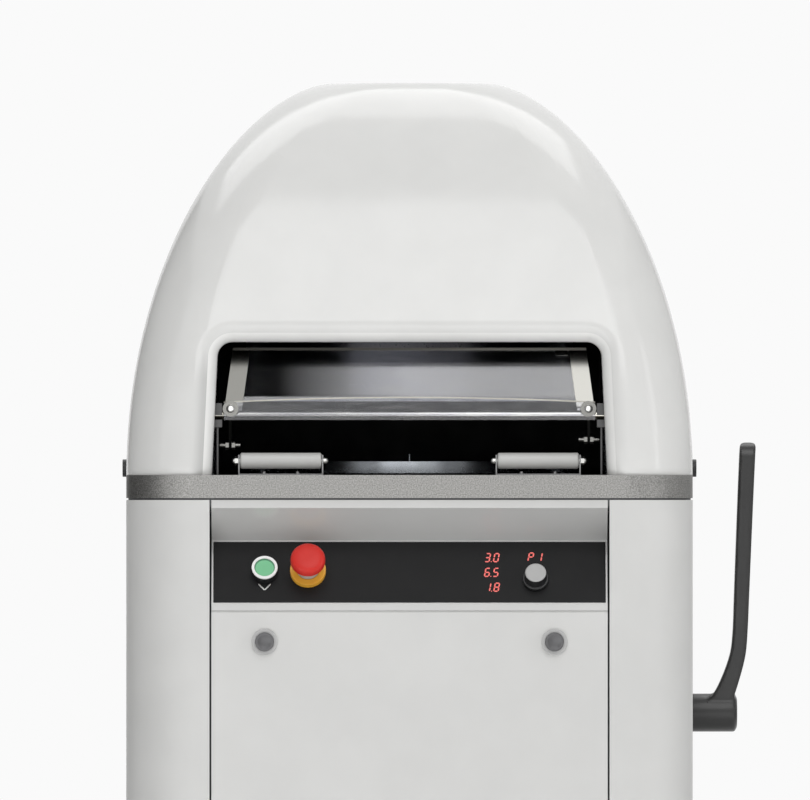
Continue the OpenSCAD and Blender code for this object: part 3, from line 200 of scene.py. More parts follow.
def dim(made, colour, share):
    """Base colour from a colour socket times a share."""
    scaled = add_node(made, "ShaderNodeVectorMath")
    scaled.operation = "SCALE"
    link(made, colour, scaled.inputs[0])
    link(made, share, scaled.inputs["Scale"])
    link(made, scaled.outputs["Vector"], shader_of(made).inputs["Base Color"])


def spread(made, factor, low, high):
    """Roughness running from low to high over the middle of a noise's range."""
    link(made, between(made, factor, 0.3, 0.7, low, high), shader_of(made).inputs["Roughness"])


def relief(made, factor, depth):
    """Bump of the given depth in metres."""
    bump = add_node(made, "ShaderNodeBump", Strength=1.0, Distance=depth)
    link(made, factor, bump.inputs["Height"])
    link(made, bump.outputs["Normal"], shader_of(made).inputs["Normal"])


def shade(colour, share):
    return tuple(c * share for c in colour)


# Materials

HAIR = 0.1 * MM  # reach of a hard change of tone
CLOUD_GRAIN, CLOUD = 14, 0.965
GLOSS_GRAIN = 40

# Painted reflection on the clear sheet: its gloss fades out to the left as painted shade, from the middle to
# this far, but not behind the strip
PAINTED_SHEEN_REACH = 0.15
PAINTED_SHEEN_LEFT = 0.02
PAINTED_SHEEN_STRIP = 0.8

# Painted light on the guard's steel, as if lit from the right: share of its tone at the left and right, and
# reach of the change
GUARD_SHADE_LEFT, GUARD_LIGHT_RIGHT = 0.34, 0.74
GUARD_LIGHT_FADE = 0.1

# Shadow in the hollow beside the mouth's left edge: its lip at the table, width, lean and depth of tone,
# the share of the mouth's height where it starts to fade, and the reach to the right where it ends
HOLLOW_X = -233.4 * MM
HOLLOW_W = 19 * MM
HOLLOW_LEAN = 0.05
HOLLOW_TONE = 0.70
HOLLOW_TOP = 0.72
HOLLOW_END = (-0.2, -0.1)

# Painted shadow on the green cap: how far its middle lies below the cap's, and its soft edge inside the rim
CAP_SHADE = 1.2 * MM
CAP_EDGE = (1.4 * MM, 0.5 * MM)


def paint(name, colour, roughness, grain=900, depth=0.02 * MM, specular=0.5, uneven=0.15):
    """Sprayed or moulded surface: faint clouding, uneven gloss and a fine peel."""
    made = new_material(name, colour, roughness, Specular_IOR_Level=specular)
    tint(made, noise(made, CLOUD_GRAIN), shade(colour, CLOUD), colour)
    spread(made, noise(made, GLOSS_GRAIN), roughness * (1 - uneven), roughness * (1 + uneven))
    relief(made, noise(made, grain), depth)
    return made


def metal(name, colour, roughness, stretch=(1, 1, 1), grain=500, depth=0.002 * MM):
    """Bare metal with a grain drawn out along the unstretched axes."""
    made = new_material(name, colour, roughness, Metallic=1.0)
    grained = noise(made, grain, 4, stretch)
    tint(made, grained, shade(colour, 0.86), colour)
    spread(made, grained, roughness * 0.75, roughness * 1.3)
    relief(made, grained, depth)
    return made


def blasted_steel():
    """Shot-blasted stainless steel with a fine sparkle."""
    colour = (0.29, 0.287, 0.277)
    made = new_material("table_steel", colour, 0.5, Metallic=1.0)
    grain = noise(made, 700, 5)
    tint(made, grain, shade(colour, 0.66), shade(colour, 1.3), 0.36, 0.66)
    spread(made, grain, 0.42, 0.58)
    relief(made, noise(made, 1300, 4), 0.06 * MM)
    return made


def turned_steel():
    """Steel turned on a lathe round the carrier's axis."""
    colour = (0.40, 0.425, 0.455)
    made = new_material("turned_steel", colour, 0.3, Metallic=1.0)
    low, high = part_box("carrier_plate")
    mapping = add_node(made, "ShaderNodeMapping", Location=-(low + high) / 2)
    rings = add_node(made, "ShaderNodeTexWave", Scale=260, Distortion=1.5, Detail=3)
    rings.wave_type = "RINGS"
    rings.rings_direction = "Z"
    link(made, position(made), mapping.inputs["Vector"])
    link(made, mapping.outputs["Vector"], rings.inputs["Vector"])
    spread(made, rings.outputs["Fac"], 0.24, 0.36)
    tint(made, noise(made, 60), shade(colour, 0.9), colour)
    relief(made, rings.outputs["Fac"], 0.001 * MM)
    return made


def clear_sheet():
    """Clear polycarbonate with faint wipe marks, and painted shade in its reflection: duller to the left
    above the strip.
    """
    made = new_material("clear_sheet", (0.86, 0.87, 0.92), 0.08, Transmission_Weight=1.0, IOR=1.72)
    wiped = noise(made, 30, 5, (1, 6, 6))
    spread(made, wiped, 0.05, 0.14)
    tint(made, wiped, (0.80, 0.81, 0.88), (0.9, 0.91, 0.95))
    # Painted shade in the sheet's reflection: its specular tint drops to the left above the strip's top
    at = axes(made)
    top = TABLE_Z + STRIP_TOP + STRIP_BOW
    across = between(made, at["X"], -PAINTED_SHEEN_REACH, 0.0, PAINTED_SHEEN_LEFT)
    gloss = between(made, at["Z"], top, top + MM, PAINTED_SHEEN_STRIP, across)
    link(made, gloss, shader_of(made).inputs["Specular Tint"])
    return made


def guard_steel():
    """The guard's steel by height: black crank arms, a rail banded with painted highlights and painted shade,
    brushed straps and a painted bar, all with painted light from the right.
    """
    made = new_material("guard_steel", (0.2, 0.2, 0.19), 0.28)
    at = axes(made)
    foot, rail, bar = TABLE_Z + CRANK_FOOT, TABLE_Z + GUARD_Z - RAIL_DROP, GUARD_TOP - BAR_H
    # Up the rail: a lower painted highlight, a band of painted shade and a bright painted highlight, as light
    # falls on a round rail
    stops = (
        (foot, (0.03, 0.03, 0.03)),
        (rail, (0.60, 0.58, 0.51)),
        (rail + RAIL_SHADE_FROM, (0.10, 0.09, 0.075)),
        (rail + RAIL_HIGHLIGHT_FROM, (0.85, 0.83, 0.75)),
        (rail + RAIL_H, (0.33, 0.327, 0.305)),
        (bar, (0.34, 0.325, 0.29)),
    )
    ramp = add_node(made, "ShaderNodeValToRGB")
    ramp.color_ramp.interpolation = "CONSTANT"
    for i, (z, colour) in enumerate(stops):
        element = ramp.color_ramp.elements[i] if i < 2 else ramp.color_ramp.elements.new(1)
        element.position = (z - foot) / (GUARD_TOP - foot)
        element.color = (*colour, 1)
    link(made, between(made, at["Z"], foot, GUARD_TOP), ramp.inputs["Fac"])
    # Painted light: the tone rises from the left to the right
    across = between(made, at["X"], -GUARD_LIGHT_FADE, GUARD_LIGHT_FADE, GUARD_SHADE_LEFT, GUARD_LIGHT_RIGHT)
    dim(made, ramp.outputs["Color"], across)
    bare = between(made, at["Z"], bar - HAIR, bar, 1, 0)
    link(made, bare, shader_of(made).inputs["Metallic"])
    brushed = noise(made, 260, 3, (1, 8, 8))
    spread(made, brushed, 0.15, 0.21)
    relief(made, brushed, 0.0002 * MM)
    return made


def bolt_steel_painted_highlight():
    """Domed heads made bright as a painted highlight, on washers and nuts made darker as painted shade, told
    apart by how far they reach to the front.
    """
    made = new_material("bolt_steel_painted_highlight", (0.42, 0.42, 0.41), 0.3, Metallic=1.0)
    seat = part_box("guard_bolts")[0].y + BOLT_HEAD
    edge = between(made, axes(made)["Y"], seat - HAIR, seat)
    # Painted highlight on the domed heads, painted shade on the washers and nuts
    tint(made, edge, (0.92, 0.92, 0.90), (0.24, 0.238, 0.225), 0.4, 0.6)
    spread(made, noise(made, 500), 0.24, 0.38)
    return made


def knob_plastic():
    """Black knob with a pale grey cap, told apart by their height over the control plate."""
    made = new_material("knob_plastic", (0.40, 0.40, 0.40), 0.38)
    cap = PLATE_OUT.dot(PLATE_MIDDLE) + PLATE_T / 2 + KNOB_CAP
    edge = between(made, measure(made, "DOT_PRODUCT", PLATE_OUT), cap, cap + HAIR)
    tint(made, edge, BLACK, (0.44, 0.44, 0.435), 0.4, 0.6)
    spread(made, noise(made, 200), 0.32, 0.45)
    relief(made, noise(made, 1500), 0.02 * MM)
    return made


def cap_green_painted_shadow():
    """Green button cap with a painted shadow along its upper edge, where the ring round it stands proud."""
    made = new_material("cap_green_painted_shadow", GREEN, 0.3)
    low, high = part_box("start_cap")
    reach = (high.x - low.x) / 2
    face = Vector((low.x + reach, low.y + reach * math.sin(TILT), high.z - reach * math.cos(TILT)))
    apart = measure(made, "DISTANCE", face - CAP_SHADE * PLATE_UP)
    edge = between(made, apart, reach - CAP_EDGE[0], reach - CAP_EDGE[1])
    # Painted shadow: darker green in a crescent along the cap's upper edge
    tint(made, edge, GREEN, (0.02, 0.20, 0.08), 0.0, 1.0)
    spread(made, noise(made, 40), 0.25, 0.35)
    relief(made, noise(made, 1200), 0.02 * MM)
    return made


def glowing(name, colour, strength):
    """A lit segment, a little uneven along its length."""
    made = new_material(name, colour, 0.4, Emission_Color=(*colour, 1), Emission_Strength=strength)
    tint(made, noise(made, 700), shade(colour, 0.8), colour)
    return made


def moulded(name, colour):
    """Glossy white plastic of the hood, with a slow waviness."""
    return paint(name, colour, 0.16, 24, 0.05 * MM)


def shade_left(made):
    """A soft shadow in the hollow beside the left edge of the mouth, up to the rolled lip.

    The band isn't limited in depth, so it also falls on the back of the hood.
    """
    colour = shader_of(made).inputs["Base Color"].links[0].from_socket
    at = axes(made)
    edge = HOLLOW_X - HOLLOW_LEAN * TABLE_Z
    along = measure(made, "DOT_PRODUCT", (1, 0, -HOLLOW_LEAN))
    near = between(made, along, edge - HOLLOW_W, edge, 1, HOLLOW_TONE, smooth=True)
    low = between(made, at["Z"], TABLE_Z + MOUTH_H * HOLLOW_TOP, TABLE_Z + MOUTH_H, near)
    dim(made, colour, between(made, at["X"], *HOLLOW_END, low))


# By the record's material slot
materials = {
    "white_paint": paint("white_paint", shade(WHITE, 0.89), 0.42),
    "hood_shell": moulded("hood_shell", WHITE),
    "table_steel": blasted_steel(),
    "stainless": metal("stainless", (0.60, 0.60, 0.58), 0.26, (1, 9, 9)),
    "machined_steel": metal("machined_steel", (0.50, 0.51, 0.52), 0.3),
    "dark_steel": paint("dark_steel", (0.075, 0.078, 0.082), 0.45, 700),
    "motor_paint": paint("motor_paint", (0.035, 0.055, 0.09), 0.4, 500),
    "tank_paint": paint("tank_paint", (0.045, 0.07, 0.1), 0.4, 500),
    "black_plastic": paint("black_plastic", BLACK, 0.42, 1200),
    "plate_black": paint("plate_black", (0.0095, 0.0095, 0.010), 0.5, 2500, 0.008 * MM, 0.15, 0.04),
    "lever_black": paint("lever_black", (0.022, 0.022, 0.022), 0.32, 1500, 0.012 * MM),
    "grey_plastic": paint("grey_plastic", (0.42, 0.42, 0.42), 0.4, 1500),
    "white_plastic": paint("white_plastic", (0.78, 0.78, 0.76), 0.36),
    "red_plastic": paint("red_plastic", (0.68, 0.028, 0.02), 0.4, 1200, specular=0.3),
    "yellow_plastic": paint("yellow_plastic", (0.88, 0.44, 0.045), 0.36, 1200),
    "clear_sheet": clear_sheet(),
    "alloy": metal("alloy", (0.66, 0.67, 0.67), 0.32),
    "bronze": metal("bronze", (0.55, 0.36, 0.16), 0.28),
    "rubber": paint("rubber", (0.014, 0.014, 0.014), 0.7, 1500, 0.06 * MM),
}
shade_left(materials["hood_shell"])
# Near-black inside of the hood and of its lip: painted shade for the dark space under the hood
inner_black_painted_shade = paint("inner_black_painted_shade", (0.006, 0.006, 0.006), 0.6, 300, specular=0.2)
# The rolled lip in the hood's white made brighter: painted light on the roll round the mouth
hood_lip_painted_light = moulded("hood_lip_painted_light", shade(WHITE, 1.22))
lock_steel = metal("lock_steel", (0.115, 0.115, 0.118), 0.38)
roller_plastic = paint("roller_plastic", (0.62, 0.62, 0.605), 0.36)

# By node, where a piece differs from the rest of its slot
own_materials = {
    "carrier_plate": turned_steel(),
    "program_knob": knob_plastic(),
    "start_cap": cap_green_painted_shadow(),
    "guard_frame": guard_steel(),
    "guard_bolts": bolt_steel_painted_highlight(),
    "guard_posts": metal("post_steel", (0.10, 0.10, 0.10), 0.42),
    "roller_brackets": metal("bracket_steel", (0.24, 0.24, 0.24), 0.36),
    # Press ring in dark steel: painted shade for the dim space round it inside the hood
    "press_ring": metal("ring_steel_painted_shade", (0.13, 0.13, 0.135), 0.34),
    "roller_left": roller_plastic,
    "roller_right": roller_plastic,
    "start_ring": paint("ring_white", (0.98, 0.98, 0.97), 0.36),
    "lock_rings": paint("washer_grey", (0.54, 0.54, 0.535), 0.4),
    "console": paint("console_paint", shade(WHITE, 0.74), 0.07, specular=0.75),
    "lock_left": lock_steel,
    "lock_right": lock_steel,
}


# Finish of the frame's own solids

EDGE = {"default": 0.5 * MM, "guard_shield": 0.3 * MM, "table_top": 2.0 * MM, "levelling_feet": 1.5 * MM}
EDGE_STEPS = 2
CRISP = ["knife_grid", "knife_yoke", "back_panel"]
CASTINGS = ["side_lever"]
CASTING_GRID = 1.5 * MM
CASTING_ROUNDS = 9
JOIN = 0.002 * MM
SHARP = math.radians(28)
FLAT = math.radians(0.6)


def soften(name, piece):
    """Round the sharp edges a little, or leave them crisp on thin metal, and shade the rest smooth."""
    piece.data.shade_smooth()
    cleaned = piece.modifiers.new("cleaned", "DECIMATE")
    cleaned.decimate_type = "DISSOLVE"
    cleaned.angle_limit = FLAT
    if name in CRISP:
        piece.modifiers.new("edges", "EDGE_SPLIT").split_angle = SHARP
        return
    bevel = piece.modifiers.new("edges", "BEVEL")
    bevel.width = EDGE.get(name, EDGE["default"])
    bevel.segments = EDGE_STEPS
    bevel.limit_method = "ANGLE"
    bevel.angle_limit = SHARP
    piece.modifiers.new("shading", "WEIGHTED_NORMAL").keep_sharp = True


def round_over(piece):
    """Round a casting all over, also where its arm runs into its hub."""
    grid = piece.modifiers.new("grid", "REMESH")
    grid.mode = "VOXEL"
    grid.voxel_size = CASTING_GRID
    grid.use_smooth_shade = True
    rounded = piece.modifiers.new("rounded", "SMOOTH")
    rounded.factor = 0.5
    rounded.iterations = CASTING_ROUNDS


for name, piece in nodes.items():
    piece.modifiers.new("joined", "WELD").merge_threshold = JOIN
    if name in CASTINGS:
        round_over(piece)
    else:
        soften(name, piece)
    piece.data.materials.clear()
    piece.data.materials.append(own_materials.get(name) or materials[slot_of[name]])


# Pieces of the scene's own

def new_object(name, data):
    made = bpy.data.objects.new(name, data)
    bpy.context.scene.collection.objects.link(made)
    return made


def new_piece(name, points, faces, body, *looks, kinds=None):
    """A smooth, joined mesh piece that rides on a body. kinds gives each face's place in looks."""
    made = bmesh.new()
    corners = [made.verts.new(p) for p in points]
    for i, face in enumerate(faces):
        made.faces.new([corners[k] for k in face]).material_index = kinds[i] if kinds else 0
    bmesh.ops.remove_doubles(made, verts=made.verts, dist=0.01 * MM)
    bmesh.ops.recalc_face_normals(made, faces=made.faces)
    mesh = bpy.data.meshes.new(name)
    made.to_mesh(mesh)
    made.free()
    mesh.shade_smooth()
    for look in looks:
        mesh.materials.append(look)
    piece = new_object(name, mesh)
    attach(piece, body)
    return piece


# Hood: the frame's loft drawn again with many more rows and columns

CORNER_STEPS = 16
MOUTH_STEPS = 24
SIDE_STEPS = 18
RISE_STEPS = 64
LIP_STEPS = 10
LIP_LIGHT_FROM = 4  # the roll's first step in the lip's brighter white, which is painted light
TOP_COLS = 24
OUTER, INNER, LIP = range(3)  # places of the hood's materials
QUARTER = math.pi / 2


def arch(t):
    return max(0.0, 1 - t * t) ** ARCH_POWER


def back_arch(t):
    return max(0.0, 1 - t ** 4) ** BACK_POWER


def hood_half(t):
    return CROWN_W / 2 + (HALF_W - CROWN_W / 2) * arch(t)


def hood_flat(t):
    return hood_half(t) - CORNER_R


def hood_front(t):
    return FRONT_Y + HOOD_SET + FRONT_RUN * (1 - arch(t))


def hood_back(t):
    return -FRONT_Y - HOOD_SET - BACK_RUN * (1 - back_arch(t))


def face_angle(x, t):
    """Angle of the front corner's arc at x."""
    return math.asin(min(1.0, max(0.0, abs(x) - hood_flat(t)) / CORNER_R)) - QUARTER


def hood_face(x, z):
    """Depth of the front face at x and z above the table."""
    t = z / HOOD_H
    return hood_front(t) + CORNER_R * (1 + math.sin(face_angle(x, t)))


def mouth_edge():
    """Right half of the mouth's edge as (x, z, normal angle), from its foot to the middle of the top."""
    slope = math.atan2((MOUTH_W - MOUTH_TOP_W) / 2, MOUTH_H)
    centre_z = MOUTH_H - MOUTH_R
    centre_x = MOUTH_W / 2 - centre_z * math.tan(slope) - MOUTH_R / math.cos(slope)
    points = []
    for i in range(SIDE_STEPS):
        z = centre_z * i / SIDE_STEPS
        points.append((MOUTH_W / 2 - z * math.tan(slope), z, slope))
    for i in range(MOUTH_STEPS + 1):
        a = slope + (QUARTER - slope) * i / MOUTH_STEPS
        points.append((centre_x + MOUTH_R * math.cos(a), centre_z + MOUTH_R * math.sin(a), a))
    for i in range(1, TOP_COLS // 2 + 1):
        points.append((centre_x * (1 - 2 * i / TOP_COLS), MOUTH_H, QUARTER))
    return points


def moved(point, out):
    """A point of the edge moved out, with its foot kept on the table."""
    x, z, a = point
    return x + out * math.cos(a), 0.0 if z == 0 else z + out * math.sin(a)


def hood_rows(rim, corner):
    """Height share, width share and edge of each row: along the rim to its corner, then up to the crown."""
    rise_from = math.asin((MOUTH_H + LIP_R + LIP_R / 4) / HOOD_H)
    rows = [(z / HOOD_H, 1.0, x) for x, z in rim[:corner + 1]]
    for i in range(RISE_STEPS):
        t = math.sin(rise_from + (QUARTER - rise_from) * i / (RISE_STEPS - 1))
        share = hood_half(t) / hood_half(rows[corner][0])
        rows.append((t, share, rows[corner][2] * share))
    return rows


def corner_arc(t, sx, sy, start, stop, wall):
    """Points of one upright corner's arc at the height share t."""
    y = hood_back(t) - CORNER_R if sy > 0 else hood_front(t) + CORNER_R
    points = []
    for i in range(CORNER_STEPS):
        a = start + (stop - start) * i / (CORNER_STEPS - 1)
        points.append((sx * hood_flat(t) + (CORNER_R - wall) * math.cos(a),
                       y + (CORNER_R - wall) * math.sin(a), t * (HOOD_H - wall)))
    return points


def front_point(x, z, wall):
    return x, hood_face(x, z) + wall, z * (HOOD_H - wall) / HOOD_H


def hood_row(row, over, wall):
    """One row of points round the shell: from the mouth's right edge by the back to its left, and over it."""
    t, share, edge = row
    a = face_angle(edge, t)
    points = [front_point(edge, t * HOOD_H, wall)]
    points += corner_arc(t, 1, -1, a, 0, wall)
    points += corner_arc(t, 1, 1, 0, QUARTER, wall)
    points += corner_arc(t, -1, 1, QUARTER, 2 * QUARTER, wall)
    points += corner_arc(t, -1, -1, 2 * QUARTER, 2 * QUARTER - a, wall)
    points.append(front_point(-edge, t * HOOD_H, wall))
    points += [front_point(x * share, max(z, t * HOOD_H), wall) for x, z in over]
    return points


def lip_rows(edge, mirrored):
    """Rows of the rolled lip across each point of the edge: out along the roll and back inside it."""
    rows = []
    for point in edge:
        row = []
        for q in range(2 * LIP_STEPS + 2):
            back = q > LIP_STEPS
            a = QUARTER * (2 * LIP_STEPS + 1 - q if back else q) / LIP_STEPS
            r = LIP_R - HOOD_WALL if back else LIP_R
            x, z = moved(point, LIP_R - r * math.sin(a))
            drop = z * HOOD_WALL / HOOD_H * math.cos(a) if back else 0
            row.append((-x if mirrored else x, hood_face(x, z) + LIP_R - r * math.cos(a), z - drop))
        rows.append(row)
    return rows


def grid_faces(first, rows, cols, closed_from=None):
    """Quads of a grid of points. Rows from closed_from on run right round."""
    faces = []
    for j in range(rows - 1):
        last = cols if closed_from is not None and j >= closed_from else cols - 1
        for i in range(last):
            a, b = first + j * cols + i, first + j * cols + (i + 1) % cols
            faces.append((a, b, b + cols, a + cols))
    return faces


def make_hood():
    """Outer and inner shell, the base that joins them, and the rolled lip round the mouth."""
    edge = mouth_edge()
    rim = [moved(p, LIP_R) for p in edge]
    corner = SIDE_STEPS + MOUTH_STEPS // 2
    rows = hood_rows(rim, corner)
    right = rim[corner + 1:]
    over = [(-x, z) for x, z in right] + right[-2::-1]
    round_cols = 4 * CORNER_STEPS + 2
    cols = round_cols + len(over)
    points, faces, kinds = [], [], []
    for wall, kind in ((0.0, OUTER), (HOOD_WALL, INNER)):
        first = len(points)
        for row in rows:
            points += hood_row(row, over, wall)
        skin = [f for f in grid_faces(first, len(rows), cols, corner)
                if (f[0] - first) // cols >= corner or (f[0] - first) % cols < round_cols - 1]
        skin.append(tuple(range(first + (len(rows) - 1) * cols, first + len(rows) * cols)))
        faces += skin
        kinds += [kind] * len(skin)
    shell = len(points) // 2
    base = [(i, i + shell, i + 1 + shell, i + 1) for i in range(round_cols - 1)]
    faces += base
    kinds += [OUTER] * len(base)
    lip = lip_rows(edge, False) + lip_rows(edge[:-1], True)[::-1]
    first, wide = len(points), 2 * LIP_STEPS + 2
    for row in lip:
        points += row
    for f in grid_faces(first, len(lip), wide):
        faces.append(f)
        q = (f[0] - first) % wide
        kinds.append(INNER if q >= LIP_STEPS else LIP if q >= LIP_LIGHT_FROM else OUTER)
    for row in (0, len(lip) - 1):
        foot = [first + row * wide + q for q in range(wide)]
        for q in range(LIP_STEPS):
            faces.append((foot[q], foot[q + 1], foot[-2 - q], foot[-1 - q]))
            kinds.append(OUTER)
    points = [Vector((x, y, z + TABLE_Z)) for x, y, z in points]
    looks = (materials["hood_shell"], inner_black_painted_shade, hood_lip_painted_light)
    hood = new_piece("moulded_hood", points, faces, "cabinet", *looks, kinds=kinds)
    hood.modifiers.new("shading", "WEIGHTED_NORMAL").weight = 50
    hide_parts("hood")


make_hood()


# Display and mark on the control plate, and painted light along the strip's edge

DIGIT_H = 10.5 * MM
DIGIT_W = 4.9 * MM
DIGIT_PITCH = 9.8 * MM
STROKE = 1.5 * MM
STROKE_GAP = 0.15 * STROKE
ITALIC = 0.18
RAISED = 0.15 * MM
SEGMENTS = {"0": "abcdef", "1": "bc", "3": "abgcd", "5": "afgcd", "6": "afgcde", "8": "abcdefg", "P": "abefg"}
# Each reading with the photograph's pixel at its middle
READINGS = [("3.0", 492.1, 557.7), ("6.5", 491.7, 572.4), ("1.8", 492.4, 587.2), ("P1", 535.3, 557.1)]
CHEVRON_PX = (264.5, 587)
CHEVRON_REACH = 7 * MM
CHEVRON_DROP = 4 * MM
# The strip's edge, a pale band of painted light: steps along it, and how far it laps over the strip's faces,
# down from its top and over it
STRIP_STEPS = 40
STRIP_LAP = 0.1 * MM
STRIP_DOWN = 1.2 * MM
STRIP_OVER = 0.4 * MM


def plate_frame():
    """Matrix from the plate's own x, u (up the slope) and out to the frame."""
    made = Matrix.Identity(4)
    for column, axis in enumerate((Vector((1, 0, 0)), PLATE_UP, PLATE_OUT)):
        for row in range(3):
            made[row][column] = axis[row]
    middle = PLATE_MIDDLE + PLATE_OUT * (PLATE_T / 2)
    made.translation = Vector((0, middle.y, middle.z))
    return made


PLATE = plate_frame()


def on_plate(px, py):
    """Plate x and u of a pixel of the photograph."""
    z = TABLE_Z - (py - TABLE_PY) * PIXEL
    return (px - MIDDLE_PX) * PIXEL, (z - PLATE.translation.z) / math.cos(TILT)


def add_bar(points, faces, start, stop):
    """A raised bar with pointed ends between two plate points."""
    along = (stop - start).normalized()
    side = Vector((-along.y, along.x)) * STROKE / 2
    tip = along * STROKE / 2
    outline = [start, start + tip + side, stop - tip + side, stop, stop - tip - side, start + tip - side]
    first, n = len(points), len(outline)
    for height in (-RAISED, RAISED):
        points += [PLATE @ Vector((p.x, p.y, height)) for p in outline]
    faces.append(tuple(range(first + 2 * n - 1, first + n - 1, -1)))
    faces.append(tuple(range(first, first + n)))
    for i in range(n):
        j = (i + 1) % n
        faces.append((first + j, first + i, first + n + i, first + n + j))


def add_digit(points, faces, character, x, u):
    """Seven-segment character centred on a plate point, leaning to the right."""
    w, h = DIGIT_W / 2, DIGIT_H / 2
    ends = {"a": (-w, h, w, h), "b": (w, h, w, 0), "c": (w, 0, w, -h), "d": (-w, -h, w, -h),
            "e": (-w, 0, -w, -h), "f": (-w, h, -w, 0), "g": (-w, 0, w, 0)}
    for segment in SEGMENTS[character]:
        x0, u0, x1, u1 = ends[segment]
        start = Vector((x + x0 + ITALIC * u0, u + u0))
        stop = Vector((x + x1 + ITALIC * u1, u + u1))
        short = (stop - start).normalized() * STROKE_GAP
        add_bar(points, faces, start + short, stop - short)


def make_display():
    """The lit readings, one bar for each segment and for each point."""
    points, faces = [], []
    for text, px, py in READINGS:
        x, u = on_plate(px, py)
        drawn = text.replace(".", "")
        for i, character in enumerate(drawn):
            add_digit(points, faces, character, x + (i - (len(drawn) - 1) / 2) * DIGIT_PITCH, u)
        if "." in text:
            foot = Vector((x - ITALIC * DIGIT_H / 2, u - DIGIT_H / 2))
            half = Vector((STROKE / 2, 0))
            add_bar(points, faces, foot - half, foot + half)
    red = glowing("display_red", (0.80, 0.16, 0.14), 0.62)
    made = new_piece("display_digits", points, faces, "cabinet", red)


def make_chevron():
    """The white mark under the start button."""
    points, faces = [], []
    x, u = on_plate(*CHEVRON_PX)
    for side in (-1, 1):
        end = Vector((x + side * CHEVRON_REACH, u + CHEVRON_DROP))
        add_bar(points, faces, end, Vector((x, u - CHEVRON_DROP)))
    made = new_piece("start_mark", points, faces, "cabinet", materials["white_plastic"])


def make_strip_edge():
    """A pale band of painted light along the clear strip's upper edge, for the light that its polished edge
    carries along it.
    """
    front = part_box("guard_shield")[0].y - STRIP_LAP
    back = front + STRIP_T + 2 * STRIP_LAP
    points, faces = [], []
    for i in range(STRIP_STEPS + 1):
        u = 2 * i / STRIP_STEPS - 1
        top = TABLE_Z + STRIP_TOP + STRIP_BOW * (1 - u * u)
        low, high = top - STRIP_DOWN, top + STRIP_OVER
        points += [Vector((u * STRIP_HALF, y, z))
                   for y, z in ((front, low), (back, low), (back, high), (front, high))]
    for i in range(STRIP_STEPS):
        for k in range(4):
            a, b = 4 * i + k, 4 * i + (k + 1) % 4
            faces.append((a, b, b + 4, a + 4))
    faces += [(3, 2, 1, 0), tuple(4 * STRIP_STEPS + k for k in range(4))]
    # Painted light: an opaque pale band along the edge
    pale = paint("strip_edge_painted_light", (0.62, 0.60, 0.54), 0.4)
    made = new_piece("strip_edge_painted_light", points, faces, "guard", pale)


make_display()
make_chevron()
make_strip_edge()


# Stage: floor, lamps, cards, world and camera

FLOOR_SIZE = 12.0
FLOOR_GLOW = 0.3
EYE = Vector((-0.005, -25.0, 0.974))
AIM = Vector(((PHOTO_W / 2 - MIDDLE_PX) * PIXEL, FRONT_Y, TABLE_Z + (TABLE_PY - PHOTO_H / 2) * PIXEL))
SENSOR = 36
BACKGROUND = 0.956
AMBIENT = 0.33
HEAD = (0, 0, 1.25)
# Name, place, aim, width, height, and the radiance of a lamp or the grey of a card
LAMPS = [
    ("front_softbox", (0.235, -2.75, 3.3), (0.235, 0, 1.2), 2.3, 2.5, 2.1),
    ("right_fill", (3.2, -1.4, 1.3), HEAD, 1.6, 3.2, 1.5),
    ("overhead", (-0.35, 1.5, 4.3), (-0.35, 1.5, 0), 4.5, 2.54, 1.8),
    ("low_fill", (-1.0, -3.2, 0.35), HEAD, 3.2, 1.4, 1.4),
    ("floor_bounce", (-0.2, -1.5, 0.05), (-0.2, -0.9, 1.1), 3.2, 1.5, 0.55),
]
CARDS = [
    ("left_side_card", (-2.2, 1.2, 1.3), (0, 1.2, 1.3), 5.0, 3.4, 0.10),
    ("right_side_card", (2.2, 1.2, 1.3), (0, 1.2, 1.3), 5.0, 3.4, 0.75),
]


def seen_directly(made):
    """1 for camera rays, reflections and rays through clear sheets, and 0 for the rest."""
    path = add_node(made, "ShaderNodeLightPath")
    seen = path.outputs["Is Camera Ray"]
    for ray in ("Is Glossy Ray", "Is Transmission Ray"):
        either = add_node(made, "ShaderNodeMath")
        either.operation = "MAXIMUM"
        link(made, seen, either.inputs[0])
        link(made, path.outputs[ray], either.inputs[1])
        seen = either.outputs["Value"]
    return seen


def rectangle(name, width, height, look):
    """A flat rectangle of the stage, facing up."""
    w, h = width / 2, height / 2
    mesh = bpy.data.meshes.new(name)
    mesh.from_pydata([(-w, -h, 0), (w, -h, 0), (w, h, 0), (-w, h, 0)], [], [(0, 1, 2, 3)])
    mesh.materials.append(look)
    made = new_object(name, mesh)
    return made


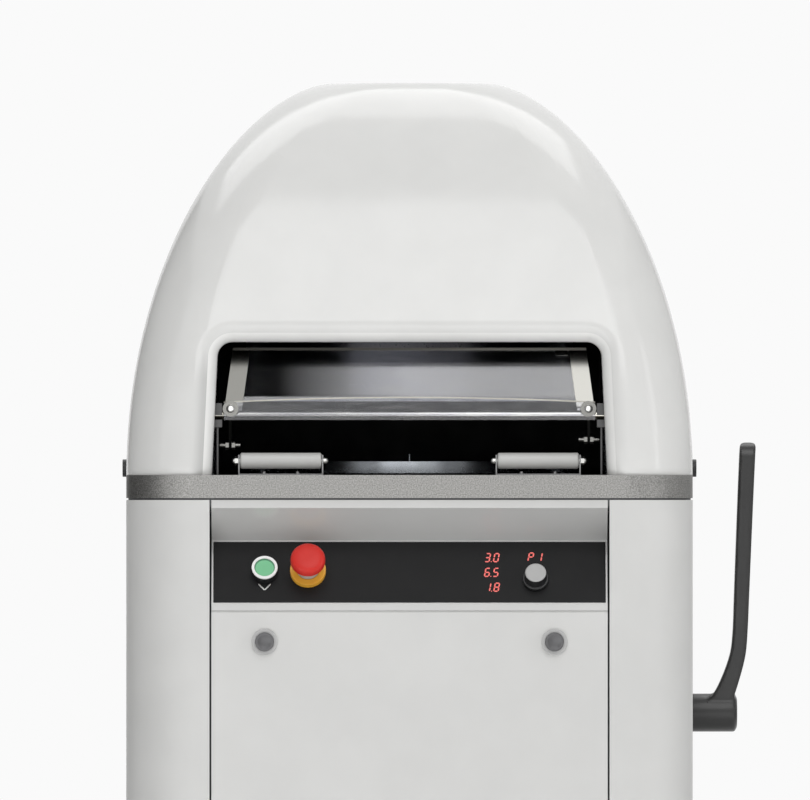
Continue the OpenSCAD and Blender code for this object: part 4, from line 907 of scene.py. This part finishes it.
def make_floor():
    look = paint("floor", (0.8, 0.8, 0.8), 0.6, 60)
    glow = between(look, seen_directly(look), 0, 1, 0, FLOOR_GLOW)
    link(look, glow, shader_of(look).inputs["Emission Strength"])
    shader_of(look).inputs["Emission Color"].default_value = (1, 1, 1, 1)
    rectangle("floor", FLOOR_SIZE, FLOOR_SIZE, look)


def facing(place, aim):
    """Matrix at a place with its -Z axis on the aim."""
    turn = (Vector(aim) - Vector(place)).to_track_quat("-Z", "Y")
    return Matrix.LocRotScale(Vector(place), turn, None)


def softbox(name, place, aim, width, height, radiance):
    """A rectangular lamp whose face shows the given radiance."""
    lamp = bpy.data.lights.new(name, "AREA")
    lamp.shape = "RECTANGLE"
    lamp.size, lamp.size_y = width, height
    lamp.energy = radiance * math.pi * width * height
    new_object(name, lamp).matrix_world = facing(place, aim)


def card(name, place, aim, width, height, grey):
    """A studio card that shows only in reflections."""
    made = rectangle(name, width, height, new_material(name, (grey, grey, grey), 0.9))
    made.matrix_world = facing(place, aim)
    made.visible_camera = False
    made.visible_diffuse = False
    made.visible_shadow = False
    made.visible_transmission = False


def make_world():
    """White to the camera, to reflections and through clear sheets, and a moderate ambient elsewhere."""
    world = bpy.data.worlds.new("studio")
    bpy.context.scene.world = world
    world.use_nodes = True
    background = world.node_tree.nodes["Background"]
    level = between(world, seen_directly(world), 0, 1, AMBIENT, BACKGROUND)
    link(world, level, background.inputs["Strength"])
    background.inputs["Color"].default_value = (1, 1, 1, 1)


def make_camera():
    """The photograph's view: from far off, with its frame fitted to the front of the cabinet."""
    data = bpy.data.cameras.new("camera")
    data.sensor_fit = "HORIZONTAL"
    data.sensor_width = SENSOR
    data.lens = SENSOR * (AIM - EYE).length / (PHOTO_W * PIXEL)
    made = new_object("camera", data)
    made.matrix_world = facing(EYE, AIM)
    bpy.context.scene.camera = made


make_floor()
for lamp in LAMPS:
    softbox(*lamp)
for sheet in CARDS:
    card(*sheet)
make_world()
make_camera()
bpy.context.scene.view_settings.view_transform = "Standard"
